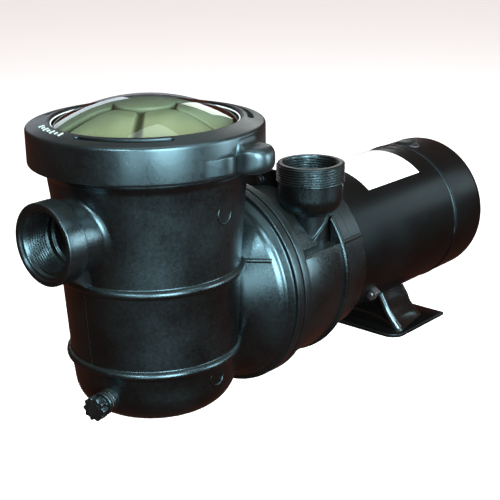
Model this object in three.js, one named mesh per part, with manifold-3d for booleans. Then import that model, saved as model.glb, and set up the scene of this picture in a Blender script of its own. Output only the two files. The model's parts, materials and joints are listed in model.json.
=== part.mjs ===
// Above-ground pool pump: strainer pot with a clear lid, volute, and a horizontal motor on a foot.
// Millimetres, +Z up, the floor at z = 0. X runs from the suction port to the rear of the motor.
import * as THREE from "three";
import { mergeVertices } from "three/addons/utils/BufferGeometryUtils.js";
import Module from "manifold-3d";

const wasm = await Module();
wasm.setup();

// ---------------------------------------------------------------- driving dimensions
const GAP = 0.3; // clearance between touching pieces

// overall layout; x is measured from the strainer pot's axis
const AXIS_HEIGHT = 102; // motor and impeller axis above the floor
const SUCTION_FACE_X = -110.7;
const MOTOR_END_X = 413;
const MIDDLE_X = (SUCTION_FACE_X + MOTOR_END_X) / 2;

// strainer pot
const POT_RIM_Z = 240;
const POT_RIM_R = 84.5;
const POT_MOUTH_R = 76.8;
const POT_WALL = 4.5;
const POT_CORNER_R = 28;
const POT_FLOOR_R = 40;
const POT_FLOOR_Z = 22; // underside of the pot, which hangs clear of the ground
const POT_LEDGE_Z = 226; // the basket's rim rests here
const LOWER_BAND_Z = 70;
const UPPER_BAND_Z = 139.5;
const BAND_HALF = 3.6;

// suction port
const SUCTION_Z = 184;
const SUCTION_COLLAR_R = 32.4;
const SUCTION_COLLAR_LENGTH = 17.4;
const SUCTION_NECK_R = 27;
const SUCTION_SOCKET_R = 24;
const SUCTION_SOCKET_DEPTH = 28;
const SUCTION_BORE_R = 20;

// drain plug, pointing out of the pot low down on the suction side
const DRAIN_ANGLE = THREE.MathUtils.degToRad(193);
const DRAIN_Z = 47;
const DRAIN_BORE_R = 5.3;
const DRAIN_BOSS_R = 9;
const DRAIN_BOSS_END = 74;

// lock ring and lid
const RING_R = 95;
const RING_BOTTOM_Z = 230.6;
const RING_EDGE_Z = 259.5; // the ring's top slopes up from here to the window
const RING_WINDOW_Z = 263.8;
const RING_BORE_R = 86;
const RING_WINDOW_R = 75.8;
const RING_SHOULDER_Z = 249.8; // underside of the ring's inward flange
const RING_SLOT_ANGLES = [94, 214, 334];
const RING_SLOT_INNER_R = 80.6;
const RING_SLOT_OUTER_R = 85.4;
const RING_SLOT_FLOOR_Z = 254.5;
const LUG_REACH = 21;
const LUG_ANGLE = THREE.MathUtils.degToRad(-80);
const LUG_HALF_WIDTH = THREE.MathUtils.degToRad(10.5);
const LUG_TOP_Z = 251;
const LID_FLANGE_R = 84;
const LID_FLANGE_BOTTOM_Z = 245;
const LID_DOME_R = 74.5;
const LID_DOME_BASE_Z = 259;
const LID_TOP_Z = 280;
const LID_WALL = 3.7;
const LID_SEAL_R = 80.2;
const LID_SEAL_SECTION = 2.15;

// strainer basket
const BASKET_RIM_R = 76.2;
const BASKET_RIM_TOP_Z = 229.4;
const BASKET_TOP_R = 70.5;
const BASKET_BOTTOM_R = 58;
const BASKET_BOTTOM_Z = 48;
const BASKET_WALL = 2.6;
const BASKET_SLOTS = 12;
const COVER_R = 70.2;
const COVER_TOP_Z = 275;
const COVER_DOME_BASE_Z = 256.3;
const COVER_WALL = 2.4;

// pump casing: the front half belongs to the pot, the rear half carries the discharge port
const FRONT_FLANGE_X = 80;
const PARTING_X = 88;
const REAR_FLANGE_X = 89.8;
const REAR_FLANGE_END_X = 98;
const FLANGE_R = 91.3;
const CHAMBER_R = 67.8;
const EYE_R = 22;
const CASING_DRUM_R = 72;
const MOTOR_FLANGE_X = 153;
const MOTOR_FLANGE_END_X = 162.7;
const MOTOR_FLANGE_R = 87;
const SKIRT_R = 85;
const SKIRT_WALL = 2.5;
const LEDGE_Z = 32; // top of the side ledge above the axis
const LEDGE_THICKNESS = 4;
const CASING_SCREW_CIRCLE_R = 77.5;
const ADAPTER_BOLT_CIRCLE_R = 77;
const CASING_SCREW_ANGLES = [30, 90, 150, 210, 270, 330];
const ADAPTER_BOLT_ANGLES = [8, 80, 172, 300];

// discharge port
const DISCHARGE_X = 147;
const DISCHARGE_Y = -50;
const DISCHARGE_TOP_Z = 205.7;
const DISCHARGE_THREAD_R = 30.15;
const DISCHARGE_THREAD_LENGTH = 17;
const DISCHARGE_COLLAR_R = 28.6;
const DISCHARGE_NECK_R = 16;
const DISCHARGE_BORE_R = 24;
const DISCHARGE_NECK_BORE_R = 12.5;

// impeller, seal and seal plate
const SHAFT_R = 7.94;
const IMPELLER_R = 52;
const SEAL_PLATE_X = 156;
const SEAL_PLATE_END_X = 162.4;

// motor
const ADAPTER_X = 163.1;
const ADAPTER_END_X = 194.6;
const MOTOR_R = 71;
const SHELL_BORE_R = 67.7;
const SHELL_X = 195.2;
const SHELL_END_X = 360.4;
const COVER_X = 361.2;
const STATOR_X = 222;
const STATOR_END_X = 308;
const ROTOR_R = 39.7;
const THROUGH_BOLT_CIRCLE_R = 63;
const THROUGH_BOLT_ANGLES = [45, 135, 225, 315];
const COVER_SCREW_CIRCLE_R = 52;
const COVER_SCREW_ANGLES = [90, 270];
const CORD_HOLE_X = 372;
const CORD_HOLE_ANGLE = THREE.MathUtils.degToRad(97);
const CORD_HOLE_R = 8;
const BONDING_LUG_X = 229;
const BONDING_LUG_TURN = -57; // degrees from straight down, towards the discharge side

// foot
const FOOT_X = 270;
const FOOT_END_X = 358;
const FOOT_HALF_WIDTH = 62.6;
const FOOT_PLATE = 4;
const FOOT_BOLT_X = 298;
const FOOT_BOLT_Y = 14;

// facets round a full circle
const ROUND_LARGE = 32;
const ROUND_MEDIUM = 24;
const ROUND_SHAFT = 20;
const ROUND_SMALL = 14;
const ROUND_SCREW = 8;

// ---------------------------------------------------------------- solid modelling helpers

function signedVolume(positions, index) {
  const a = new THREE.Vector3();
  const b = new THREE.Vector3();
  const c = new THREE.Vector3();
  let sum = 0;
  for (let i = 0; i < index.length; i += 3) {
    a.fromArray(positions, 3 * index[i]);
    b.fromArray(positions, 3 * index[i + 1]);
    c.fromArray(positions, 3 * index[i + 2]);
    sum += a.dot(b.cross(c));
  }
  return sum / 6;
}

// A closed three.js geometry as a manifold solid, with its faces turned to point outwards.
function solid(geometry) {
  const bare = geometry.clone();
  bare.deleteAttribute("normal");
  bare.deleteAttribute("uv");
  const merged = mergeVertices(bare, 1e-4);
  const positions = merged.attributes.position.array;
  const source = merged.index.array;
  const index = [];
  for (let i = 0; i < source.length; i += 3) {
    const [a, b, c] = [source[i], source[i + 1], source[i + 2]];
    if (a !== b && b !== c && c !== a) index.push(a, b, c);
  }
  if (signedVolume(positions, index) < 0) {
    for (let i = 0; i < index.length; i += 3) {
      [index[i + 1], index[i + 2]] = [index[i + 2], index[i + 1]];
    }
  }
  const mesh = new wasm.Mesh({
    numProp: 3,
    vertProperties: new Float32Array(positions),
    triVerts: new Uint32Array(index),
  });
  return new wasm.Manifold(mesh);
}

function join(...solids) {
  return solids.reduce((whole, piece) => whole.add(piece));
}

function cut(body, ...tools) {
  return tools.reduce((rest, tool) => rest.subtract(tool), body);
}

function geometryOf(body) {
  const mesh = body.getMesh();
  const geometry = new THREE.BufferGeometry();
  geometry.setAttribute("position", new THREE.BufferAttribute(new Float32Array(mesh.vertProperties), 3));
  geometry.setIndex(new THREE.BufferAttribute(new Uint32Array(mesh.triVerts), 1));
  geometry.computeVertexNormals();
  return geometry;
}

// A profile of [radius, z] points turned about Z.
function turnZ(profile, facets = ROUND_LARGE) {
  const points = profile.map(([r, z]) => new THREE.Vector2(r, z));
  return solid(new THREE.LatheGeometry(points, facets).rotateX(Math.PI / 2));
}

// A profile of [x, radius] points turned about X.
function turnX(profile, facets = ROUND_LARGE) {
  const points = profile.map(([x, r]) => new THREE.Vector2(r, x));
  return solid(new THREE.LatheGeometry(points, facets).rotateZ(-Math.PI / 2));
}

function rodX(radius, x0, x1, facets = ROUND_SMALL, y = 0, z = 0) {
  const rod = new THREE.CylinderGeometry(radius, radius, x1 - x0, facets);
  return solid(rod.rotateZ(-Math.PI / 2).translate((x0 + x1) / 2, y, z));
}

function rodZ(radius, z0, z1, facets = ROUND_SMALL, x = 0, y = 0) {
  const rod = new THREE.CylinderGeometry(radius, radius, z1 - z0, facets);
  return solid(rod.rotateX(Math.PI / 2).translate(x, y, (z0 + z1) / 2));
}

function tubeX(bore, radius, x0, x1, facets = ROUND_LARGE) {
  return turnX([[x0, bore], [x0, radius], [x1, radius], [x1, bore], [x0, bore]], facets);
}

function block(x0, x1, y0, y1, z0, z1) {
  const box = new THREE.BoxGeometry(x1 - x0, y1 - y0, z1 - z0);
  return solid(box.translate((x0 + x1) / 2, (y0 + y1) / 2, (z0 + z1) / 2));
}

// Points on a circular arc in a profile plane; angles in degrees.
function arc(centreA, centreB, radius, from, to, steps) {
  return Array.from({ length: steps + 1 }, (_, i) => {
    const angle = THREE.MathUtils.degToRad(from + ((to - from) * i) / steps);
    return [centreA + radius * Math.cos(angle), centreB + radius * Math.sin(angle)];
  });
}

// [y, z] on a circle about the X axis; angle in degrees from +Y towards +Z.
function onCircle(radius, angle) {
  const a = THREE.MathUtils.degToRad(angle);
  return [radius * Math.cos(a), radius * Math.sin(a)];
}

function finish(colour, roughness, metalness = 0) {
  return new THREE.MeshStandardMaterial({ color: colour, roughness, metalness });
}

function piece(name, body, material) {
  const mesh = new THREE.Mesh(geometryOf(body), material);
  mesh.name = name;
  return mesh;
}

const MATERIALS = {
  blackPlastic: () => finish(0x2b2f33, 0.42),
  seal: () => finish(0x101112, 0.85),
  clear: () => finish(0xdfe9e2, 0.08),
  cream: () => finish(0xd9dcc0, 0.5),
  paint: () => finish(0x1d2023, 0.3, 0.2),
  steel: () => finish(0xb9bdc2, 0.35, 1),
  ceramic: () => finish(0xe9e6dc, 0.4),
  copper: () => finish(0xa8663b, 0.4, 1),
  lamination: () => finish(0x6c6f73, 0.55, 0.9),
  label: () => finish(0xf4f4f2, 0.45),
  phenolic: () => finish(0x3a2a1f, 0.6),
};

// ---------------------------------------------------------------- strainer pot and its lid

// Half-round band that stands off the pot's wall.
function band(z, wallRadius) {
  return arc(wallRadius, z, BAND_HALF, -90, 90, 4);
}

function potOutside() {
  return turnZ([
    [0, POT_FLOOR_Z],
    ...arc(POT_FLOOR_R, POT_FLOOR_Z + POT_CORNER_R, POT_CORNER_R, -90, 0, 4),
    ...band(LOWER_BAND_Z, 70.2),
    ...band(UPPER_BAND_Z, 73.9),
    [78.8, 205],
    [80.8, 222],
    [POT_RIM_R, 226],
    [POT_RIM_R, POT_RIM_Z],
    [0, POT_RIM_Z],
  ]);
}

function potCavity() {
  const inner = POT_CORNER_R - POT_WALL;
  return turnZ([
    [0, POT_FLOOR_Z + POT_WALL],
    ...arc(POT_FLOOR_R, POT_FLOOR_Z + POT_CORNER_R, inner, -90, 0, 3),
    [73, POT_LEDGE_Z - 4],
    [73, POT_LEDGE_Z],
    [POT_MOUTH_R, POT_LEDGE_Z],
    [POT_MOUTH_R, POT_RIM_Z + 5],
    [0, POT_RIM_Z + 5],
  ]);
}

// The suction port points along -X; its profile is [distance from the pot's axis, radius].
function suctionPort() {
  const face = -SUCTION_FACE_X;
  const collarBack = face - SUCTION_COLLAR_LENGTH;
  const port = turnX([
    [60, 0],
    [60, 34],
    [76, 33],
    [81, 29],
    [86, SUCTION_NECK_R],
    [collarBack, SUCTION_NECK_R],
    [collarBack, SUCTION_COLLAR_R],
    [face - 1.5, SUCTION_COLLAR_R],
    [face, SUCTION_COLLAR_R - 1.5],
    [face, 0],
  ], ROUND_LARGE);
  return port.rotate([0, 0, 180]).translate([0, 0, SUCTION_Z]);
}

function suctionBore() {
  const face = -SUCTION_FACE_X;
  const socket = face - SUCTION_SOCKET_DEPTH;
  const bore = turnX([
    [50, 0],
    [50, SUCTION_BORE_R],
    [socket - 3, SUCTION_BORE_R],
    [socket, SUCTION_SOCKET_R - 0.8],
    [face + 1, SUCTION_SOCKET_R],
    [face + 1, 0],
  ], ROUND_MEDIUM);
  return bore.rotate([0, 0, 180]).translate([0, 0, SUCTION_Z]);
}

function alongDrain(body) {
  return body.rotate([0, 0, THREE.MathUtils.radToDeg(DRAIN_ANGLE)]).translate([0, 0, DRAIN_Z]);
}

// Front half of the casing: a cone growing out of the pot into the bolted flange.
function casingFrontOutside() {
  const cone = turnX([
    [46, 0],
    [46, 50],
    [50, 58],
    [69, 80.5],
    [71.5, 82.2],
    [73.2, 84.5],
    [FRONT_FLANGE_X, 87.5],
    [FRONT_FLANGE_X, FLANGE_R],
    [PARTING_X, FLANGE_R],
    [PARTING_X, 0],
  ]);
  const ribZ = UPPER_BAND_Z - AXIS_HEIGHT;
  const ribCone = turnX([[46, 0], [46, 53], [50, 61], [69, 83], [70.5, 83.4], [70.5, 0]]);
  const rib = ribCone.intersect(block(44, 71, -90, 90, ribZ - 1.9, ribZ + 1.9));
  return join(cone, rib).translate([0, 0, AXIS_HEIGHT]);
}

function strainerHousing() {
  const drainBoss = alongDrain(rodX(DRAIN_BOSS_R, 60, DRAIN_BOSS_END, ROUND_MEDIUM));
  const drainBore = alongDrain(rodX(DRAIN_BORE_R, 55, DRAIN_BOSS_END + 1));
  const eye = rodX(EYE_R, 50, 80, ROUND_MEDIUM, 0, AXIS_HEIGHT);
  const chamber = rodX(CHAMBER_R, 78, PARTING_X + 1, ROUND_LARGE, 0, AXIS_HEIGHT);
  const screwHoles = CASING_SCREW_ANGLES.map((angle) => {
    const [y, z] = onCircle(CASING_SCREW_CIRCLE_R, angle);
    return rodX(2.7, 80.6, PARTING_X + 1, ROUND_SCREW, y, AXIS_HEIGHT + z);
  });
  const outside = join(potOutside(), suctionPort(), drainBoss, casingFrontOutside());
  return cut(outside, potCavity(), suctionBore(), drainBore, eye, chamber, ...screwHoles);
}

// Outline of one finger lug, blending into the ring on both sides.
function lugShape() {
  const spread = 2.5 * LUG_HALF_WIDTH;
  const steps = 12;
  const shape = new THREE.Shape();
  for (let i = 0; i <= steps; i += 1) {
    const angle = -spread + (2 * spread * i) / steps;
    const reach = LUG_REACH / (1 + (angle / LUG_HALF_WIDTH) ** 4);
    const radius = RING_R - 0.6 + reach;
    const [x, y] = [radius * Math.cos(angle), radius * Math.sin(angle)];
    if (i === 0) shape.moveTo(x, y);
    else shape.lineTo(x, y);
  }
  shape.absarc(0, 0, RING_BORE_R + 0.8, spread, -spread, true);
  return shape;
}

function lug(angle) {
  const bevel = 3.8;
  const height = LUG_TOP_Z - RING_BOTTOM_Z;
  const geometry = new THREE.ExtrudeGeometry(lugShape(), {
    depth: height - 2 * bevel,
    curveSegments: 6,
    bevelThickness: bevel,
    bevelSize: bevel,
    bevelOffset: -bevel,
    bevelSegments: 2,
  });
  return solid(geometry.translate(0, 0, RING_BOTTOM_Z + bevel).rotateZ(angle));
}

function arcSlot(middle, inner, outer, z0, z1) {
  const half = THREE.MathUtils.degToRad(24);
  const shape = new THREE.Shape();
  shape.absarc(0, 0, outer, -half, half, false);
  shape.absarc(0, 0, inner, half, -half, true);
  const geometry = new THREE.ExtrudeGeometry(shape, { depth: z1 - z0, bevelEnabled: false, curveSegments: 5 });
  return solid(geometry.translate(0, 0, z0).rotateZ(THREE.MathUtils.degToRad(middle)));
}

function lockRing() {
  const body = turnZ([
    [RING_BORE_R, RING_BOTTOM_Z + 0.4],
    [90, RING_BOTTOM_Z],
    ...arc(RING_R - 4, RING_BOTTOM_Z + 4, 4, -70, 0, 2),
    [RING_R, RING_EDGE_Z - 1.5],
    [RING_R - 1.5, RING_EDGE_Z],
    [RING_WINDOW_R + 1, RING_WINDOW_Z],
    [RING_WINDOW_R, RING_WINDOW_Z - 1],
    [RING_WINDOW_R, RING_SHOULDER_Z],
    [RING_BORE_R, RING_SHOULDER_Z],
    [RING_BORE_R, RING_BOTTOM_Z + 0.4],
  ]);
  const ring = join(body, lug(LUG_ANGLE), lug(LUG_ANGLE + Math.PI));
  const slots = RING_SLOT_ANGLES.map((middle) =>
    arcSlot(middle, RING_SLOT_INNER_R, RING_SLOT_OUTER_R, RING_SLOT_FLOOR_Z, RING_WINDOW_Z + 1),
  );
  return cut(ring, ...slots);
}

// Profile of a shallow spherical cap, from its edge to its top.
function cap(radius, baseZ, topZ, steps) {
  const rise = topZ - baseZ;
  const sphere = (radius ** 2 + rise ** 2) / (2 * rise);
  const edgeAngle = Math.asin(radius / sphere);
  return Array.from({ length: steps + 1 }, (_, i) => {
    const angle = edgeAngle * (1 - i / steps);
    return [sphere * Math.sin(angle), topZ - sphere * (1 - Math.cos(angle))];
  });
}

function lid() {
  return turnZ([
    ...cap(LID_DOME_R - LID_WALL, LID_DOME_BASE_Z - 1, LID_TOP_Z - LID_WALL, 5).reverse(),
    [LID_DOME_R - LID_WALL, LID_FLANGE_BOTTOM_Z],
    [LID_FLANGE_R, LID_FLANGE_BOTTOM_Z],
    [LID_FLANGE_R, RING_SHOULDER_Z - GAP],
    [LID_DOME_R, RING_SHOULDER_Z - GAP],
    ...cap(LID_DOME_R, LID_DOME_BASE_Z, LID_TOP_Z, 5),
  ]);
}

function ringSeal(radius, section, facets) {
  return solid(new THREE.TorusGeometry(radius, section, 5, facets));
}

function basket() {
  const shell = turnZ([
    [0, BASKET_BOTTOM_Z],
    [BASKET_BOTTOM_R - 3, BASKET_BOTTOM_Z],
    [BASKET_BOTTOM_R, BASKET_BOTTOM_Z + 4],
    [BASKET_TOP_R, POT_LEDGE_Z + GAP],
    [BASKET_RIM_R, POT_LEDGE_Z + GAP],
    [BASKET_RIM_R, BASKET_RIM_TOP_Z],
    [BASKET_TOP_R - BASKET_WALL, BASKET_RIM_TOP_Z],
    [BASKET_BOTTOM_R - BASKET_WALL, BASKET_BOTTOM_Z + 5],
    [0, BASKET_BOTTOM_Z + BASKET_WALL + 1],
  ]);
  const slots = [];
  for (let i = 0; i < BASKET_SLOTS; i += 1) {
    const turn = [0, 0, (360 * (i + 0.5)) / BASKET_SLOTS];
    slots.push(block(50, 80, -3, 3, 62, 102).rotate(turn));
    slots.push(block(50, 80, -3, 3, 108, 148).rotate(turn));
  }
  const inlet = rodX(25, -80, -40, ROUND_MEDIUM, 0, SUCTION_Z);
  return cut(shell, ...slots, inlet);
}

function basketCover() {
  return turnZ([
    ...cap(COVER_R - COVER_WALL, COVER_DOME_BASE_Z - 1, COVER_TOP_Z - COVER_WALL, 4).reverse(),
    [COVER_R - COVER_WALL, BASKET_RIM_TOP_Z + GAP],
    [COVER_R + 4, BASKET_RIM_TOP_Z + GAP],
    [COVER_R + 4, BASKET_RIM_TOP_Z + GAP + 2],
    [COVER_R, BASKET_RIM_TOP_Z + GAP + 2],
    ...cap(COVER_R, COVER_DOME_BASE_Z, COVER_TOP_Z, 4),
  ]);
}

// The plug is turned along +X and placed in the drain's direction.
function drainPlug() {
  const shaft = DRAIN_BORE_R - GAP;
  return turnX([
    [62, 0],
    [62, shaft - 1],
    [63, shaft],
    [77.3, shaft],
    [77.3, 9.6],
    [80.3, 9.6],
    [80.3, 6.5],
    [83.5, 6.5],
    [83.5, 9.6],
    [84.3, 10.2],
    [90, 10.2],
    [91, 9.2],
    [91, 0],
  ], ROUND_SMALL);
}

function drainSeal() {
  return tubeX(DRAIN_BORE_R, 8.2, DRAIN_BOSS_END + GAP, 77, ROUND_SMALL);
}

// ---------------------------------------------------------------- pump casing, about the motor axis

function dischargePort() {
  const top = DISCHARGE_TOP_Z - AXIS_HEIGHT;
  const threadBottom = top - DISCHARGE_THREAD_LENGTH;
  const outside = turnZ([
    [0, 20],
    [DISCHARGE_NECK_R, 20],
    [DISCHARGE_NECK_R, threadBottom - 22],
    [21, threadBottom - 19.5],
    [25.6, threadBottom - 14],
    [DISCHARGE_COLLAR_R, threadBottom - 6],
    [DISCHARGE_COLLAR_R, threadBottom],
    [DISCHARGE_THREAD_R, threadBottom + 0.8],
    [DISCHARGE_THREAD_R, top - 1.5],
    [DISCHARGE_THREAD_R - 1.2, top],
    [0, top],
  ], 28);
  const bore = turnZ([
    [0, 10],
    [DISCHARGE_NECK_BORE_R, 10],
    [DISCHARGE_NECK_BORE_R, threadBottom - 20],
    [DISCHARGE_BORE_R - 1, threadBottom - 10],
    [DISCHARGE_BORE_R, top + 1],
    [0, top + 1],
  ], ROUND_MEDIUM);
  const seat = [DISCHARGE_X, DISCHARGE_Y, 0];
  return { outside: outside.translate(seat), bore: bore.translate(seat) };
}

function casingRear() {
  const flange = rodX(FLANGE_R, REAR_FLANGE_X, REAR_FLANGE_END_X, ROUND_LARGE);
  const drum = rodX(CASING_DRUM_R, REAR_FLANGE_END_X - 1, MOTOR_FLANGE_X + 1, ROUND_LARGE);
  const motorFlange = turnX([
    [MOTOR_FLANGE_X, 0],
    [MOTOR_FLANGE_X, MOTOR_FLANGE_R - 1.5],
    [MOTOR_FLANGE_X + 1.5, MOTOR_FLANGE_R],
    [MOTOR_FLANGE_X + 4, MOTOR_FLANGE_R],
    [MOTOR_FLANGE_END_X, 81],
    [MOTOR_FLANGE_END_X, 0],
  ]);
  const [x0, x1] = [REAR_FLANGE_END_X - 1, MOTOR_FLANGE_X + 1];
  const below = block(x0, x1, -95, 95, -95, LEDGE_Z);
  const skirt = tubeX(SKIRT_R - SKIRT_WALL, SKIRT_R, x0, x1).intersect(below);
  const ledgeRing = tubeX(CASING_DRUM_R - 1, SKIRT_R, x0, x1);
  const ledge = ledgeRing.intersect(block(x0, x1, -95, 95, LEDGE_Z - LEDGE_THICKNESS, LEDGE_Z));
  const drainSlot = block(104, 146, -20, 20, -90, -78);
  const chamber = rodX(CHAMBER_R, REAR_FLANGE_X - 1, MOTOR_FLANGE_END_X + 1, ROUND_LARGE);
  const sealGroove = tubeX(CHAMBER_R + 2.2, CHAMBER_R + 5.8, REAR_FLANGE_X - 1, REAR_FLANGE_X + 1.7);
  const screwHoles = CASING_SCREW_ANGLES.map((angle) => {
    return rodX(2.7, REAR_FLANGE_X - 1, REAR_FLANGE_END_X + 1, ROUND_SCREW, ...onCircle(CASING_SCREW_CIRCLE_R, angle));
  });
  const boltHoles = ADAPTER_BOLT_ANGLES.map((angle) => {
    return rodX(2.7, MOTOR_FLANGE_X - 1, MOTOR_FLANGE_END_X + 1, ROUND_SCREW, ...onCircle(ADAPTER_BOLT_CIRCLE_R, angle));
  });
  const port = dischargePort();
  const besideAdapter = rodX(81, MOTOR_FLANGE_END_X + 0.1, 200, ROUND_LARGE);
  const shell = join(flange, drum, motorFlange, skirt.subtract(drainSlot), ledge);
  const outside = join(shell, port.outside.subtract(besideAdapter));
  return cut(outside, chamber, sealGroove, port.bore, ...screwHoles, ...boltHoles);
}

// Hexagon-headed screw along X: headAt is the face that bears, away points from there to the head.
function hexScrew(radius, headRadius, headHeight, tipX, headAt, circleR, angle) {
  const away = Math.sign(headAt - tipX);
  const headEnd = headAt + away * headHeight;
  const [y, z] = onCircle(circleR, angle);
  const shank = rodX(radius, Math.min(tipX, headEnd), Math.max(tipX, headEnd), ROUND_SCREW, y, z);
  const head = rodX(headRadius, Math.min(headAt, headEnd), Math.max(headAt, headEnd), 6, y, z);
  return shank.add(head);
}

function diffuser() {
  const bowl = turnX([
    [78.6, 24],
    [78.6, 27],
    [116, 27],
    [117, 61],
    [142, 61],
    [142, 58],
    [120, 58],
    [120, 24],
    [78.6, 24],
  ]);
  const windows = [0, 60, 120].map((turn) => block(124, 138, -80, 80, -5, 5).rotate([turn, 0, 0]));
  return cut(bowl, ...windows);
}

function impeller() {
  const frontShroud = turnX([[112, 21], [112, 23.4], [124.5, 23.4], [127, IMPELLER_R], [128.5, IMPELLER_R],
    [126, 21], [112, 21]]);
  const backShroud = rodX(IMPELLER_R, 139, 142.5);
  const hub = rodX(12, 126.5, 147, ROUND_SMALL);
  const vanes = [];
  for (let i = 0; i < 6; i += 1) {
    vanes.push(block(125.5, 140, 9, IMPELLER_R - 2, -1.6, 1.6).rotate([60 * i, 0, 0]));
  }
  return cut(join(frontShroud, backShroud, hub, ...vanes), rodX(SHAFT_R + GAP, 131, 148, ROUND_SHAFT));
}

function sealRotor() {
  return turnX([
    [147.3, SHAFT_R + GAP],
    [147.3, 13.5],
    [150.2, 13.5],
    [150.2, 11.5],
    [152.2, 11.5],
    [152.2, SHAFT_R + GAP],
    [147.3, SHAFT_R + GAP],
  ], ROUND_SHAFT);
}

function sealSeat() {
  return tubeX(SHAFT_R + 1, 15.7, 152.5, 159.4, ROUND_SHAFT);
}

function sealPlate() {
  const plate = turnX([
    [SEAL_PLATE_X, 20],
    [SEAL_PLATE_X, CHAMBER_R - 3.2],
    [SEAL_PLATE_END_X, CHAMBER_R - 3.2],
    [SEAL_PLATE_END_X, SHAFT_R + 1],
    [159.7, SHAFT_R + 1],
    [159.7, 16],
    [154, 16],
    [154, 20],
    [SEAL_PLATE_X, 20],
  ]);
  const screwHoles = THROUGH_BOLT_ANGLES.map((angle) => rodX(2.4, 158, 164, ROUND_SCREW, ...onCircle(45, angle)));
  return cut(plate, ...screwHoles);
}

// ---------------------------------------------------------------- motor, about its own axis

function motorAdapter() {
  const bell = turnX([
    [ADAPTER_X, 30],
    [ADAPTER_X, 79.2],
    [ADAPTER_X + 1, 80],
    [ADAPTER_END_X, 78.2],
    [ADAPTER_END_X, MOTOR_R + 0.4],
    [ADAPTER_X + 7, MOTOR_R + 0.4],
    [ADAPTER_X + 7, 30],
    [ADAPTER_X, 30],
  ]);
  const ledges = tubeX(76, 81.5, ADAPTER_X, ADAPTER_END_X - 4)
    .intersect(block(ADAPTER_X, ADAPTER_END_X, -90, 90, LEDGE_Z - LEDGE_THICKNESS, LEDGE_Z));
  const screwHoles = THROUGH_BOLT_ANGLES.map((angle) => rodX(2.4, 160, 172, ROUND_SCREW, ...onCircle(45, angle)));
  const boltHoles = ADAPTER_BOLT_ANGLES.map((angle) => {
    return rodX(2.5, ADAPTER_X - 1, ADAPTER_X + 8, ROUND_SCREW, ...onCircle(ADAPTER_BOLT_CIRCLE_R - 0.2, angle));
  });
  return cut(join(bell, ledges), ...screwHoles, ...boltHoles);
}

function frontEndBracket() {
  const bracket = turnX([
    [175, 12],
    [175, MOTOR_R],
    [194.8, MOTOR_R],
    [194.8, 67.8],
    [180, 67.8],
    [180, 24.5],
    [192.3, 24.5],
    [192.3, 20.3],
    [179, 20.3],
    [179, 12],
    [175, 12],
  ]);
  const holes = THROUGH_BOLT_ANGLES.map((angle) => rodX(2.8, 173, 181, ROUND_SCREW, ...onCircle(THROUGH_BOLT_CIRCLE_R, angle)));
  return cut(bracket, ...holes);
}

function bearing(radius, x0, x1) {
  return tubeX(SHAFT_R + GAP, radius, x0, x1, ROUND_SHAFT);
}

function coolingFan() {
  const blades = [];
  for (let i = 0; i < 8; i += 1) {
    blades.push(block(197.5, 203.6, 12, 54, -1.5, 1.5).rotate([45 * i, 0, 0]));
  }
  return cut(join(rodX(14, 196, 203.6, ROUND_MEDIUM), rodX(54, 196, 198), ...blades), rodX(SHAFT_R + GAP, 195, 205, ROUND_SHAFT));
}

function statorCore() {
  const core = tubeX(ROTOR_R + 0.6, SHELL_BORE_R - 0.7, STATOR_X, STATOR_END_X, ROUND_MEDIUM);
  const notches = THROUGH_BOLT_ANGLES.map((angle) => {
    return rodX(3, STATOR_X - 1, STATOR_END_X + 1, ROUND_SCREW, ...onCircle(THROUGH_BOLT_CIRCLE_R, angle));
  });
  return cut(core, ...notches);
}

function winding(x0, x1) {
  const middle = (x0 + x1) / 2;
  return turnX([[x0, 45], [x0, 57], [middle, 59], [x1, 58], [x1, 43], [x0, 45]], ROUND_MEDIUM);
}

function motorShell() {
  const shell = turnX([
    [SHELL_X, SHELL_BORE_R],
    [SHELL_X, MOTOR_R],
    [SHELL_END_X - 2.2, MOTOR_R],
    [SHELL_END_X - 1.6, MOTOR_R + 0.9],
    [SHELL_END_X, MOTOR_R + 0.9],
    [SHELL_END_X, SHELL_BORE_R],
    [SHELL_X, SHELL_BORE_R],
  ]);
  const footHoles = [-FOOT_BOLT_Y, FOOT_BOLT_Y].map((y) => rodZ(3.4, -75, -60, ROUND_SCREW, FOOT_BOLT_X, y));
  return cut(shell, ...footHoles);
}

function rearEndBracket() {
  const bracket = turnX([
    [346, 12],
    [346, SHELL_BORE_R - GAP],
    [350, SHELL_BORE_R - GAP],
    [350, 22],
    [360, 22],
    [360, 17.8],
    [349, 17.8],
    [349, 12],
    [346, 12],
  ]);
  const holes = THROUGH_BOLT_ANGLES.map((angle) => rodX(2.9, 345, 351, ROUND_SCREW, ...onCircle(THROUGH_BOLT_CIRCLE_R, angle)));
  const coverHoles = COVER_SCREW_ANGLES.map((angle) => rodX(2.2, 345, 351, ROUND_SCREW, ...onCircle(COVER_SCREW_CIRCLE_R, angle)));
  return cut(bracket, ...holes, ...coverHoles);
}

function throughBolt(angle) {
  return hexScrew(2.4, 4, 3.4, 176, 350.4, THROUGH_BOLT_CIRCLE_R, angle);
}

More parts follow.
